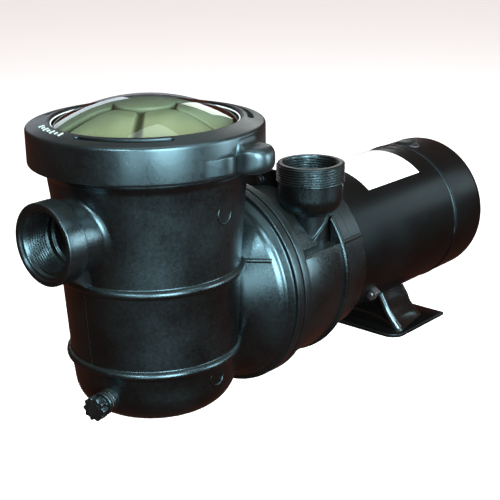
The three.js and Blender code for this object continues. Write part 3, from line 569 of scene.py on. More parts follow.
# painted shadow: a near-black, rough material for the inserts that darken the ring's slots
SHADOW_BLACK = moulded("painted_slot_shadow", (0.0005, 0.0004, 0.0004), (0.0012, 0.0012, 0.0012), 0.7,
                       painted_top_light=0.0, specular=0.1)
PLUG_BLACK = moulded("plug_black", (0.001, 0.0008, 0.0008), GLOSS_LIGHT, 0.26, painted_top_light=0.1, bevel=0.4)
ADAPTER_BLACK = moulded("adapter_black", (0.001, 0.0009, 0.0008), (0.0024, 0.0025, 0.0025), 0.32,
                        painted_top_light=0.15, mottle=0.12)
INNER_BLACK = moulded("inner_black", (0.01, 0.01, 0.011), (0.016, 0.016, 0.018), 0.5, bevel=0)
MOTOR_BLACK = enamel("motor_enamel", (0.0006, 0.0004, 0.0003), (0.0010, 0.0008, 0.0007), 0.33,
                     painted_top_light=0.03, specular=0.25)
FOOT_BLACK = enamel("foot_gloss", GLOSS_DARK, GLOSS_LIGHT, 0.15, peel=0.12, painted_top_light=0.0, specular=0.9)
PLATE_BLACK = enamel("foot_plate_gloss", GLOSS_DARK, GLOSS_LIGHT, 0.2, peel=0.12, painted_top_light=0.0, specular=0.12)
STEEL = metal("stainless", (0.62, 0.63, 0.64), 0.3)
ZINC = metal("dull_zinc", (0.16, 0.17, 0.18), 0.40)
DARK_STEEL = metal("dull_steel", (0.05, 0.055, 0.06), 0.42)
LAMINATED = metal("laminations", (0.3, 0.31, 0.33), 0.45, stretch=(6, 0.4, 0.4), scratch=0.5)
ALUMINIUM = metal("cast_aluminium", (0.52, 0.53, 0.54), 0.45, scratch=0.5)
COPPER = metal("varnished_copper", (0.62, 0.28, 0.13), 0.35, stretch=(0.3, 4, 4), scratch=0.6)
PHENOLIC = metal("phenolic", (0.1, 0.05, 0.025), 0.6)
CERAMIC = film("ceramic")
RUBBER = rubber("black_rubber")
CREAM = creamy("cream_plastic")
CLEAR = clear_plastic("clear_lid")
# painted highlight: a pale material standing in for the light line at the lid's lower edge
LID_HIGHLIGHT = moulded("painted_lid_edge_highlight", (0.42, 0.46, 0.44), (0.6, 0.64, 0.62), 0.3, painted_top_light=0.0, bevel=0)
LABEL = film("label_film")

# The materials that show each of the CAD's material slots. CAD nodes that stay visible wear the first one.
FINISHES = {
    "stainless": [STEEL, ZINC, DARK_STEEL],
    "lamination": [LAMINATED],
    "bracket_aluminium": [ALUMINIUM],
    "copper_wire": [COPPER],
    "seal_ceramic": [CERAMIC],
    "rubber": [RUBBER],
    "inner_plastic": [INNER_BLACK],
    "phenolic": [PHENOLIC],
    "wet_end_plastic": [BLACK, PORT_BLACK, CASING_BLACK],
    "ring_plastic": [RING_BLACK, EMBOSS_GREY, SHADOW_BLACK],
    "lid_clear": [CLEAR, LID_HIGHLIGHT],
    "basket_cream": [CREAM],
    "plug_plastic": [PLUG_BLACK],
    "adapter_plastic": [ADAPTER_BLACK],
    "motor_paint": [MOTOR_BLACK],
    "foot_paint": [FOOT_BLACK, PLATE_BLACK],
    "label_white": [LABEL],
}
SLOTS = {material.name: slot for slot, materials in FINISHES.items() for material in materials}
for row in frame["record"]["subparts"]:
    node = frame["nodes"][row["node"]]
    node.data.materials.clear()
    node.data.materials.append(FINISHES[row["material_slot"]][0])

# ---------------------------------------------------------------- strainer pot


BAND_HALF = 3.6
# the pot's outer wall: its radius at each height
WALL_Z = [POT_FLOOR + POT_CORNER, LOW_BAND_Z, HIGH_BAND_Z, 205, 222]
WALL_R = [POT_FLAT_R + POT_CORNER, 70.1, 73.7, 78.8, 80.8]


def half_band(wall, z):
    """Half-round band round the pot, with small fillets where it leaves the wall."""
    return [(wall, z - BAND_HALF, 1.2)] + arc(wall, z, BAND_HALF, -62, 62, 10) + [(wall, z + BAND_HALF, 1.2)]


def pot_wall():
    corner_z = POT_FLOOR + POT_CORNER
    outside = [(0, POT_FLOOR), (POT_FLAT_R, POT_FLOOR)] + arc(POT_FLAT_R, corner_z, POT_CORNER, -88, 0, 16)
    outside += half_band(WALL_R[1], LOW_BAND_Z) + half_band(WALL_R[2], HIGH_BAND_Z)
    outside += [(78.8, 205), (80.8, 222, 3), (84.5, 226, 1.5), (84.5, 240, 0.7), (76.8, 240, 0.7)]
    inside = [(76.8, 226, 0.5), (73, 226, 0.5), (69.6, 139), (65.4, 70), (63.5, 50)]
    inside += arc(POT_FLAT_R, corner_z, POT_CORNER - POT_THICK, 0, -88, 12)[1:] + [(0, POT_FLOOR + POT_THICK)]
    return turned(outside + inside, segments=224)


def pot_surface(y, z):
    """How far along -X the pot's outer wall is, at a height and a distance to one side."""
    return sqrt(max(np.interp(z, WALL_Z, WALL_R) ** 2 - y**2, 0))


def saddle(place, radius, flare, surface):
    """A fillet skirt round a pipe that grows out of a curved wall. surface gives the wall's height."""
    overlap, step, steps = 0.15, 4.0, 8
    rows = []
    for i in range(-2, steps + 1):
        t = max(i, 0) / steps * pi / 2
        reach = radius + flare * (1 - cos(t)) - 0.02
        lift = flare * (1 - sin(t)) + max(-i, 0) * step
        row = []
        for a in np.arange(128) * TAU / 128:
            x, y = polar(reach, a)
            row.append((x, y, surface(x, y) + lift - overlap))
        rows.append(row)
    rows.append([(x, y, z - 1.2) for x, y, z in rows[-1]])
    co, faces = loft(rows, capped=False)
    return moved(co, place), faces


PIPE_PITCH = 2.209  # 11.5 threads to the inch
THREAD_ROWS = 0.28  # how far apart the rows of points lie along a thread
SUCTION_NECK_R = 28.0
SUCTION_THREAD_R = 24.2
SUCTION_BORE_R = 20.0


def suction_port():
    face = SUCTION_FACE
    thread_from, thread_to = face - 5.7, face - 22
    threads = [(SUCTION_THREAD_R - 0.0352 * (face - h), h)
               for h in np.arange(thread_from, thread_to, -THREAD_ROWS)]
    outside = [(SUCTION_BORE_R, 58), (SUCTION_NECK_R, 58), (SUCTION_NECK_R, 93.3, 1.0), (32.4, 93.3, 1.0),
               (32.4, face, 1.6)]
    mouth = [(29.0, face, 0.9), (27.2, face - 1.8, 0.6), (25.6, face - 2.6, 0.6), (24.6, face - 5.5)]
    inside = threads + [(22.0, face - 23, 0.5), (22.0, face - 27, 1.0), (SUCTION_BORE_R, face - 28, 1.0)]

    def depth(r, h):
        return -0.9 if r < SUCTION_THREAD_R + 0.05 and thread_to < h < thread_from + 0.1 else 0.0

    return turned(outside + mouth + inside, SUCTION, 176, thread=(PIPE_PITCH, depth))


def suction_fillet():
    # local X of the port's frame is the pot's Y, local Y its Z
    def wall(x, y):
        world = SUCTION @ Vector((x, y, 0))
        return pot_surface(world.y, world.z)

    return saddle(SUCTION, SUCTION_NECK_R, 4.6, wall)


def gusset():
    """Small web under the suction neck, between the collar and the pot."""
    sections = []
    for offset in (-1.3, -0.9, 0.9, 1.3):
        inset = 0.5 if abs(offset) > 1 else 0.0
        shape = [(-76, 160), (-92.5 + inset, 158.2), (-93.5 + inset, 155.5 + inset),
                 (-90 + inset, 151.5 + inset), (-79, 143 + inset), (-72, 141 + inset), (-70, 150)]
        sections.append([(x, -8 + offset, z) for x, z in shape])
    return loft(sections)


def ejector_mark(angle, z):
    """A shallow round witness mark of the mould on the pot's wall."""
    a = radians(angle)
    wall, radius = pot_surface(0, z), 7.5
    place = frame_at(polar(wall, a, z), polar(1, a, 0.03))
    profile = [(radius + across, height) for across, height in
               ((-0.45, -0.8), (-0.45, 0.05), (-0.2, 0.3), (0.2, 0.3), (0.45, 0.05), (0.45, -0.8))]
    return turned(profile, place, 48)


def cylinder(place, radius, z0, z1, segments=96):
    return turned([(0, z0), (radius, z0), (radius, z1), (0, z1)], place, segments)


def mould_line(angle, z0, z1):
    """Fine raised line down the pot where the mould's halves met."""
    a = radians(angle)
    return tube_along([polar(pot_surface(0, z), a, z) for z in np.linspace(z0, z1, 30)], 0.35, 6)


# ---------------------------------------------------------------- lid and ring


def ring_section():
    bottom = RING_BOTTOM
    return rounded([
        (86, bottom + 0.4, 0.5), (90.5, bottom, 1.5), (RING_R, bottom, 4.6), (RING_R, RING_EDGE, 2.4),
        (WINDOW_R, RING_TOP, 1.2), (75.8, RING_TOP - 2.2, 0.6), (75.8, 249.8, 0.3), (86, 249.8, 0.3),
    ], steps=6)


def lug_reach(t):
    """How far a lug stands out of the ring, t degrees from its middle: a knob, and a shoulder before it."""
    shoulder, middle, run, end = 4.6, -15, 8, 4.6
    if t < middle:
        return shoulder * exp(-((t - middle) / run) ** 2)
    knob = LUG_REACH * max(0.0, 1 - abs(t / 9.6) ** 2.3) ** 0.6
    return knob + shoulder * sqrt(max(0.0, 1 - ((t - middle) / end) ** 2))


def lug_part(angle):
    """A bulbous finger lug that swells out of the ring and flows back into it."""
    sections = []
    top, bottom = 251.0, RING_BOTTOM + 0.2
    for t in np.linspace(-34, 24, 141):
        a = radians(t)
        reach = lug_reach(t)
        shrink = (1 - min(1.0, reach / 21)) ** 2
        high, low = top - 6 * shrink, bottom + 2.5 * shrink
        tip = 94.5 + reach
        soft = min(9.6, 0.9 * reach + 0.2)
        lead = min(7.0, 0.45 * reach + 0.1)
        profile = rounded([
            (88, low + 1), (94, low), (tip, low, soft), (tip, high, soft),
            (95 + lead * 0.3, high, lead), (94.8, high + lead * 1.2, lead), (88, high + 1),
        ], closed=False, steps=10)
        sections.append([polar(r, a + angle, z) for r, z in profile])
    return loft(sections)


def ring_top_at(radius):
    """Height of the ring's sloping top at a radius."""
    return RING_EDGE + (RING_R - radius) / (RING_R - WINDOW_R) * (RING_TOP - RING_EDGE)


def emboss_dash(angle, width):
    """One of a row of short raised bars on the ring's top."""
    a = radians(angle)
    length, radius = 1.5, 82.6
    slope = atan2(RING_TOP - RING_EDGE, RING_R - WINDOW_R)
    place = frame_at(polar(radius, a, ring_top_at(radius)), polar(sin(slope), a, cos(slope)),
                     up=(-sin(a), cos(a), 0))
    return outline_prism(rectangle(width / 2, length / 2), -0.5, 0.8, 0.25, place)


def rectangle(half_x, half_y):
    return [(-half_x, -half_y), (half_x, -half_y), (half_x, half_y), (-half_x, half_y)]


def ring_slot(inset, middle_angle, bottom, top):
    """A curved slot in the ring's top, with round ends, drawn in by an inset."""
    inner, outer = 80.6 + inset, 85.4 - inset
    half_angle = SLOT_HALF_ANGLE - inset
    r, w = (inner + outer) / 2, (outer - inner) / 2
    start, end = radians(middle_angle - half_angle), radians(middle_angle + half_angle)
    outline = [(outer, a) for a in np.linspace(start, end, 40)]
    outline += [(r + w * cos(t), end + w * sin(t) / r) for t in np.linspace(0, pi, 9)[1:-1]]
    outline += [(inner, a) for a in np.linspace(end, start, 40)]
    outline += [(r + w * cos(t), start - w * sin(t) / r) for t in np.linspace(pi, 0, 9)[1:-1]]
    return outline_prism([polar(d, a) for d, a in outline], bottom, top)


def lid_section():
    return rounded([(84, 249.5, 0.6), (75.2, 249.5, 0.8), (74.5, 250.4, 0.5)] + cap(74.5, 259, LID_TOP)
                   + cap(73.0, 258.6, LID_TOP - 1.5)[::-1] + [(73.0, 245, 0.6), (84, 245, 0.6)])


VALLEY_HALVES = (1.6, 1.6, 4.4, 3.2, 1.7, 1.6)  # half the width of each valley between the cover's panels
FIRST_VALLEY = 40  # degrees
VALLEY_PITCH = 60
HUB_R = 24.5
COVER_R = 70.2
COVER_TOP = 275.0
COVER_RISE = 18.7


def cover_height(r, angle):
    """Height of the cream cover at a radius and an angle in degrees, and how deep in a valley that is."""
    ball = (COVER_R**2 + COVER_RISE**2) / (2 * COVER_RISE)
    dome = COVER_TOP - (ball - sqrt(ball**2 - r**2))
    if r < HUB_R - 0.6:
        return dome + 2.2 - 0.6 * (r / HUB_R) ** 6, 0.0
    turn = (angle - FIRST_VALLEY) / VALLEY_PITCH
    phase = turn % 1.0
    near = round(turn)
    half = VALLEY_HALVES[near % 6] * (0.55 + 0.45 * r / 45)
    across = abs(radians(angle - near * VALLEY_PITCH - FIRST_VALLEY)) * r
    groove = exp(-((across / half) ** 4))
    arch = HUB_R + 1.3 + 6.5 * (1 - sin(pi * phase)) ** 2.2
    inner = 1 / (1 + exp((r - arch) / 0.35))
    valley = max(groove, inner)
    crown = 2.0 * sin(pi * phase) ** 0.7 * min(1, (r - HUB_R) / 14)
    return dome + crown * (1 - valley) - 2.4 * valley, valley


def cover_dome():
    """Cream cover: a raised round hub and six crowned panels with valleys between them."""
    segments = 480
    radii = list(np.linspace(0, HUB_R - 0.65, 12)) + list(np.linspace(HUB_R - 0.55, 34, 38))
    radii += list(np.linspace(34.5, COVER_R - 1.6, 60))
    rows = [[cover_height(r, 360 * k / segments) for k in range(segments)] for r in radii]
    rows.append([(z - 2.6, valley) for z, valley in rows[-1]])
    radii.append(COVER_R - 0.6)
    angles = np.linspace(0, TAU, segments, endpoint=False)
    co = [polar(r, a, z) for r, row in zip(radii, rows) for a, (z, _) in zip(angles, row)]
    skirt = turned(rounded([(69.7, 254.6, 0.5), (69.7, 231.7, 0.8), (72, 231.7, 0.5), (72, 229.8, 0.4),
                            (66.6, 229.8, 0.4), (66.6, 254.0)], steps=3), segments=200)
    return merged((np.array(co), lattice(len(radii), segments)), skirt)


def mark_valley_shade(obj):
    """Stores on each point how deep in the cover's valleys it lies, for the material's painted shade."""
    mesh = obj.data
    depth = mesh.attributes.new("valley", "FLOAT", "POINT")
    for i, vertex in enumerate(mesh.vertices):
        x, y = (vertex.co.x - POT_X) / MM, vertex.co.y / MM
        r = hypot(x, y)
        on_top = HUB_R - 0.6 < r < COVER_R - 0.9 and vertex.co.z / MM > 250
        depth.data[i].value = cover_height(r, degrees(atan2(y, x)) % 360)[1] if on_top else 0.0


def basket_part():
    outside = [(0, 48), (58, 48, 4), (70.5, 226.4, 0.6), (76.1, 226.4, 0.6), (76.1, 229.3, 0.7),
               (67.9, 229.3, 0.8)]
    inside = [(55.4, 51.5, 3), (0, 51.5)]
    return turned(outside + inside)


# ---------------------------------------------------------------- drain plug


def drain_plug_part():
    shank = [(0, 62), (4.2, 62, 0.6), (5.0, 63.5, 0.3), (5.0, 77.3), (9.6, 77.3, 0.5), (9.6, 80.3, 0.8),
             (6.4, 80.9, 0.8), (6.4, 84.0, 0.6), (8.6, 84.4, 0.4), (8.6, 89.6, 0.4), (0, 89.6)]
    lobes = [polar(9.4 + 0.85 * cos(10 * a), a) for a in TAU * np.arange(144) / 144]
    rim = [(3.4, 89.8), (5.8, 89.8), (5.8, 91.0, 0.3), (4.4, 91.0, 0.3), (4.0, 90.2)]
    return merged(turned(shank, DRAIN, 72), outline_prism(lobes, 83.8, 90.9, 0.9, DRAIN),
                  turned(rim, DRAIN, 48))


# ---------------------------------------------------------------- casing


def about_drive(profile, steps=5, segments=224):
    """A profile of (radius, x) turned about the drive's axis, with its corners rounded."""
    return turned(rounded(profile, steps=steps), DRIVE, segments)


def casing_front():
    return about_drive([
        (0, 46), (50, 46), (58, 50, 4), (80.5, 69, 3), (82.2, 71.5, 1.2), (84.5, 73.2, 1.4), (87.5, 80, 1.0),
        (FLANGE_R, 80, 1.2), (FLANGE_R, 88, 0.7), (68, 88, 0.4), (68, 78), (EYE_R, 78, 0.8), (EYE_R, 56),
        (0, 56),
    ])


def cone_rib():
    """The pot's upper band carried on across the casing's cone."""
    z = HIGH_BAND_Z - AXIS_Z
    path = []
    for x in np.linspace(47, 69, 16):
        r = np.interp(x, [46, 50, 69, 71], [50, 58, 80.5, 82])
        path.append((x, -sqrt(max(r * r - z * z, 0)), HIGH_BAND_Z))
    return merged(tube_along(path, 2.0, 12), tube_along([(x, -y, h) for x, y, h in path], 2.0, 12))


DISCHARGE_NECK_R = 16.0
DISCHARGE_BORE_R = 12.5


def discharge_port():
    """Bowl on a narrow neck, threaded inside and out."""
    top = DISCHARGE_TOP
    base = top - 17.2
    outer_rows = [(29.15, h) for h in np.arange(base + 0.6, top - 1.2, 0.27)]
    outside = [(DISCHARGE_NECK_R, 112), (DISCHARGE_NECK_R, base - 27.5, 2), (21.5, base - 26.2, 1.5),
               (25.5, base - 22.4, 3), (28.5, base - 14.5, 3), (28.5, base, 0.5)]
    rim = [(28.6, top, 0.6), (24.8, top, 0.5)]
    inner_rows = [(24.2 - 0.03 * (top - h), h) for h in np.arange(top - 1.5, top - 18, -0.27)]
    inside = [(22.6, top - 19, 0.5), (22.6, top - 22, 2), (14, top - 36, 2), (DISCHARGE_BORE_R, top - 38, 1),
              (DISCHARGE_BORE_R, 112)]

    def depth(r, h):
        if base + 0.5 < h < top - 1.1 and r > 29:
            return 1.0
        if top - 18 < h < top - 1.4 and 23.5 < r < 24.3:
            return -0.8
        return 0.0

    return turned(outside + outer_rows + rim + inner_rows + inside, DISCHARGE, 176,
                  thread=(PIPE_PITCH, depth))


def drum_surface(_, y):
    """Height of the casing drum's outside under a point of the discharge port's own frame."""
    return AXIS_Z + sqrt(max(DRUM_R**2 - (DISCHARGE_Y + y) ** 2, 0))


def casing_flange():
    return about_drive([(66, 89.8), (FLANGE_R, 89.8, 0.7), (FLANGE_R, 98, 1.1), (66, 98)])


def motor_flange():
    return about_drive([(66, 153), (87, 153, 1.6), (87, 157.5, 2.0), (81, 162.7, 1.0), (66, 162.7)])


def casing_drum():
    return turned([(67.8, 90), (DRUM_R, 90), (DRUM_R, 162), (67.8, 162)], DRIVE, 200)


def swept(section, start, end, steps):
    """A section of (radius, x) carried round the drive's axis. Angles in degrees from +Y towards +Z."""
    return loft([[beside_axis(x, r, a) for r, x in section]
                 for a in np.radians(np.linspace(start, end, steps + 1))])


LEDGE = 32.0  # the ledge's top above the axis


def skirt_part():
    """Shell round the drum, open at the top between the two ledges."""
    inner, front, back = SKIRT_R - 2.5, 97, 154
    rise = degrees(asin((LEDGE - 1) / 84))
    section = [(inner, front, 0.4), (SKIRT_R, front, 0.4), (SKIRT_R, back, 0.4), (inner, back, 0.4)]
    return swept(rounded(section, steps=2), 180 - rise, 360 + rise, 140)


def ledge_part(side, inner, outer, front, back, edge, taper=0.0):
    """Flat shelf along the casing's side, with its outer edge rounded."""
    top = AXIS_Z + LEDGE
    section = rounded([(inner, top - 4), (outer, top - 4, edge), (outer, top, edge + 0.2), (inner, top)])
    return loft([[(x, side * (y - taper * (x - 163)), z) for y, z in section] for x in (front, back)])


def casing_ledge(side):
    """The shelf that closes the skirt along its top edge, and a fine bead along the shelf."""
    reach = sqrt(SKIRT_R**2 - LEDGE**2)
    bead = [(x, side * (reach - 0.8), AXIS_Z + LEDGE + 0.2) for x in np.linspace(98, 153, 12)]
    return merged(ledge_part(side, 62.0, reach + 0.6, 97.2, 153.8, 1.2), tube_along(bead, 0.9, 10))


def hex_screw(x_face, angle, circle, across=4.4, height=4.0, toward=1):
    """Hexagon head on a washer; toward is the direction along X in which the head stands."""
    a = radians(angle)
    place = frame_at(beside_axis(x_face, circle, a), (toward, 0, 0))
    corners = [np.array(polar(across, TAU * k / 6)) for k in range(7)]
    outline = [tuple(p + (q - p) * t) for p, q in zip(corners, corners[1:]) for t in (0.06, 0.5, 0.94)]
    rim = across + 0.9
    washer = turned([(0, 0.0), (rim, 0.0, 0.2), (rim, 0.9, 0.3), (0, 0.9)], place, 40)
    return merged(outline_prism(outline, 0.9, height, 0.35, place), washer)


# ---------------------------------------------------------------- motor


def adapter_part():
    return about_drive([
        (30, 163.1), (79.2, 163.1, 0.6), (80.2, 164.5, 0.6), (79.6, 176, 1), (78.9, 176.6, 0.6),
        (78.2, 194.5, 1.4), (71.6, 194.5, 0.6), (71.5, 170), (30, 170),
    ])


SHELL_INNER_R = 67.7


def shell_part():
    return about_drive([
        (SHELL_INNER_R, 195.2), (70.4, 195.2, 0.4), (MOTOR_R, 196.2, 0.5), (MOTOR_R, 357.6, 0.4),
        (71.9, 358.4, 0.5), (71.9, 360.4, 0.5), (SHELL_INNER_R, 360.4),
    ], steps=4)


def rear_cover_part():
    end = MOTOR_END
    return about_drive([
        (SHELL_INNER_R, 361.2), (71.4, 361.2, 0.5), (71.4, end - 6, 3), (70.2, end - 1.6, 1.2),
        (68.2, end, 1.0), (66.2, end, 0.8), (65.4, end - 2.4, 1.2), (60, end - 2.6, 2), (52, end - 1.0, 3),
        (0, end - 0.8), (0, end - 3), (65.8, end - 4.4), (SHELL_INNER_R, end - 7),
    ])


def straight_slot(half, radius):
    """Outline of a straight slot with round ends, long in local X."""
    end = [polar(radius, a) for a in np.linspace(-pi / 2, pi / 2, 9)]
    return [(half + x, y) for x, y in end] + [(-half - x, -y) for x, y in end]


def vent_half(z):
    """Half the length of a vent slot at a height above the axis, inside a circle on the cover."""
    return sqrt(max(48.0**2 - z * z, 1)) - 4


def louvre(z):
    place = frame_at((MOTOR_END, 0, AXIS_Z + z), (1, 0, 0))
    return outline_prism(straight_slot(vent_half(z), 1.9), -8, 4, 0, place)


def louvre_hood(z):
    """Pressed lip over a vent slot."""
    sections = []
    base, height = MOTOR_END - 1.2, AXIS_Z + z
    for t in np.linspace(-1, 1, 21):
        y = vent_half(z) * t
        lift = 1.0 - t**6
        sections.append([(base, y, height + 2.0), (base + lift, y, height + 2.2),
                         (base + 0.2 + lift, y, height + 3.0), (base, y, height + 5.0)])
    return loft(sections)


def label_part():
    inner, outer = 71.08, 71.43
    section = [(inner, 244, 0.1), (outer, 244, 0.15), (outer, 330, 0.15), (inner, 330, 0.1)]
    return swept(rounded(section, steps=2), 62, 128, 60)


HOOD_REAR = 380.5


def cord_hood():
    """Low pressed hood over the cord's way out, open towards the rear."""
    sections = []
    for x, height in ((362.6, 0.2), (365, 1.6), (368, 2.9), (372, 3.5), (HOOD_REAR, 3.6)):
        row = []
        for t in np.linspace(0, 1, 19):
            y = -9 + 20 * t
            lift = height * min(1.0, 2.6 * sin(pi * t))
            row.append((x, y, AXIS_Z + sqrt((MOTOR_R + 0.2) ** 2 - y**2) + lift))
        sections.append([(x, -9, AXIS_Z + 69.4)] + row + [(x, 11, AXIS_Z + 69.4)])
    return loft(sections)


def cord_notch():
    """The opening at the hood's rear end."""
    return outline_prism([(-4.5, -1.0), (6.5, -1.0), (6.5, 2.3), (-4.5, 2.3)], -7, 4, 0,
                         frame_at((HOOD_REAR, 0, AXIS_Z + MOTOR_R), (1, 0, 0)))


def gland_part():
    a = radians(97)
    profile = [(4.5, 66), (6.4, 66, 0.4), (6.4, 71.9, 0.5), (5.0, 72.6, 0.4), (4.5, 71.6, 0.3)]
    return turned(profile, frame_at((372, 0, AXIS_Z), (0, cos(a), sin(a))), 64)


def top_strip():
    """Narrow raised strip across the top of the shell, just ahead of its rear seam."""
    section = [(70.6, 344), (72.0, 344.6, 0.5), (72.0, 356, 0.5), (70.6, 356.8)]
    return swept(rounded(section, closed=False, steps=3), 82, 95, 14)


def bonding_part():
    """Bonding lug: a small block on the shell's lower side with a clamp screw in its face."""
    turn = radians(-57)
    place = frame_at((229, 0, AXIS_Z), (0, sin(turn), -cos(turn)), up=(1, 0, 0))
    screw = [(0, 0), (2.8, 0), (2.8, 1.4, 0.5), (0, 1.8)]
    return merged(outline_prism(rectangle(5, 4), 70.3, 77.6, 0.9, place),
                  turned(screw, place @ frame_at((0, -4, 74.0), (0, -1, 0)), 32))


def shell_seam():
    """Lengthwise weld of the rolled motor shell, on its hidden side."""
    angle = radians(35)
    return tube_along([beside_axis(x, MOTOR_R - 0.1, angle) for x in np.linspace(197, 357, 30)], 0.6, 8)


# ---------------------------------------------------------------- foot


FOOT_FRONT, FOOT_REAR, FOOT_HALF = 270.0, 358.0, 62.4
FOOT_LEVELS = (3, 12, 22, 39, 46)
FOOT_NEAR_X = (284, 283, 281.5, 280, 279.7)
FOOT_FAR_X = (329, 327.5, 325, 320, 319)
FOOT_WIDTH = (58.5, 51, 44.5, 36.5, 34.5)


def foot_plate():
    """Plate with rounded corners towards the pump and square ones at the rear."""
    corner = 14.0
    pts = [(FOOT_REAR, -FOOT_HALF), (FOOT_REAR, FOOT_HALF)]
    for side in (1, -1):
        bend = [(FOOT_FRONT + corner * (1 - sin(a)), side * (FOOT_HALF - corner * (1 - cos(a))))
                for a in np.linspace(0, pi / 2, 9)]
        pts += bend if side > 0 else bend[::-1]
    dense = []
    for p, q in zip(pts, pts[1:] + pts[:1]):
        steps = max(1, int(dist(p, q) // 12))
        dense += [(p[0] + (q[0] - p[0]) * k / steps, p[1] + (q[1] - p[1]) * k / steps) for k in range(steps)]
    return outline_prism(dense, 0.0, 4.0, 1.0)


def pedestal():
    """Flared foot between motor and plate: hollow-cheeked sides that meet in raised ridges."""
    sections = []
    for z in np.linspace(3, 46, 29):
        x0 = np.interp(z, FOOT_LEVELS, FOOT_NEAR_X)
        x1 = np.interp(z, FOOT_LEVELS, FOOT_FAR_X)
        half = np.interp(z, FOOT_LEVELS, FOOT_WIDTH)
        flare = max(0.0, (13 - z) / 10) ** 2
        scoop = 7.0 + 3.0 * (1 - z / 46) - 9.0 * flare
        rear = half * (1 - 0.22 * max(0.0, 1 - z / 30))
        x1 += 12 * max(0.0, 1 - z / 26) ** 1.5
        front = [(x0 + max(scoop, 0) * (1 - abs(t) ** 2.6) - 4.0 * flare, half * t * 0.985)
                 for t in np.linspace(-1, 1, 33)]
        cheek = []
        for t in np.linspace(-0.94, 0.94, 9):
            along = (t + 1) / 2
            hollow = 1.6 * (1 - t * t) * (1 - flare)
            cheek.append((x0 + (x1 - x0) * along, half + (rear - half) * along - hollow + 1.2 * flare))
        back = [(x1 - 1.5 * (1 - t * t), rear * t * 0.985) for t in np.linspace(1, -1, 17)]
        other_cheek = [(x, -y) for x, y in reversed(cheek)]
        sections.append([(x, y, z) for x, y in front + cheek + back + other_cheek])
    return loft(sections)


def foot_ridge(side):
    """Rounded rib where the foot's front meets its cheek."""
    path, radii = [], []
    for z in np.linspace(5, 40, 15):
        path.append((np.interp(z, FOOT_LEVELS, FOOT_NEAR_X) + 2.9,
                     side * (np.interp(z, FOOT_LEVELS, FOOT_WIDTH) - 3.1), z))
        radii.append(4.4 - 1.6 * (z - 5) / 35)
    return tube_along(path, radii, 12)


# ---------------------------------------------------------------- the assembly

IMPELLER_ROOM_R = 54.0
PINHOLE_CIRCLE = 83.0  # radius at which two gate marks lie in the ring's top
SIDES = ((-1, "near"), (1, "far"))

strainer = add("strainer_pot", pot_wall(), BLACK, stands_for=["strainer_housing"])
carve(strainer, cylinder(SUCTION, SUCTION_BORE_R, 40, 100), cylinder(DRIVE, EYE_R, 40, 80),
      cylinder(DRAIN, DRAIN_BORE_R, 50, 80, 40))
add("suction_port", suction_port(), PORT_BLACK)
add("suction_fillet", suction_fillet(), BLACK, sharp=60)
add("suction_gusset", gusset(), BLACK)
boss = [(DRAIN_BORE_R, 60), (9.4, 60), (9.0, 74, 0.8), (DRAIN_BORE_R, 74, 0.4)]
add("drain_boss", turned(boss, DRAIN, 64), BLACK)
for number, (angle, z) in enumerate(((-86, 196), (-88, 58)), 1):
    add(f"ejector_mark_{number}", ejector_mark(angle, z), BLACK)
add("pot_mould_line", merged(mould_line(180, 73, 136), mould_line(0, 144, 220)), BLACK)
cone = add("casing_front", casing_front(), CASING_BLACK)
carve(cone, cylinder(POT, 66.0, 40, 200, 128))
add("casing_rib", cone_rib(), CASING_BLACK)

ring = add("ring", turned(ring_section(), segments=288), RING_BLACK, "ring", ["lock_ring"])
for angle in SLOT_ANGLES:
    carve(ring, ring_slot(0.0, angle, 250.6, RING_TOP + 2))
for angle, radius in ((188.9, 1.1), (238.8, 1.9)):
    place = frame_at(polar(PINHOLE_CIRCLE, radians(angle), 0), (0, 0, 1))
    carve(ring, cylinder(place, radius, 255, RING_TOP + 2, 24))
# dark inserts in the ring's slots: painted shadow, so that the slots' lit far walls read dark
slot_shadow_inserts = [ring_slot(0.1, angle, 251, 261.2) for angle in SLOT_ANGLES]
add("ring_slot_shadow", merged(*slot_shadow_inserts), SHADOW_BLACK, "ring")
dashes = [emboss_dash(152 + 4.1 * k, (4.8, 3.0)[k % 2]) for k in range(7)]
add("ring_emboss", merged(*dashes), EMBOSS_GREY, "ring")
for angle, (_, tag) in zip(LUG_ANGLES, SIDES):
    add(f"ring_lug_{tag}", lug_part(angle), RING_BLACK, "ring")

add("lid_dome", turned(lid_section(), segments=192), CLEAR, "lid", ["strainer_lid"])
# pale bead along the lid's lower edge: a painted highlight where the dome's base catches the light
edge = [polar(74.6, a, 261.2) for a in np.linspace(0, TAU, 160, endpoint=False)]
add("lid_edge_highlight", tube_along(edge, 0.55, 10, closed=True), LID_HIGHLIGHT, "lid")
mark_valley_shade(add("basket_top", cover_dome(), CREAM, "basket", ["basket_cover"], sharp=70))
basket = add("basket", basket_part(), CREAM, "basket", ["strainer_basket"])
cutters = []
for k in range(12):
    for z in (82, 128):
        place = frame_at((0, 0, z), polar(1, TAU * (k + 0.5) / 12, 0))
        upright = [(y, x) for x, y in straight_slot(17, 3.0)]
        cutters.append(outline_prism(upright, 45, 85, 0, place))
carve(basket, merged(*cutters), cylinder(SUCTION, 25.0, 40, 85))

add("drain_knob", drain_plug_part(), PLUG_BLACK, "drain", ["drain_plug"])

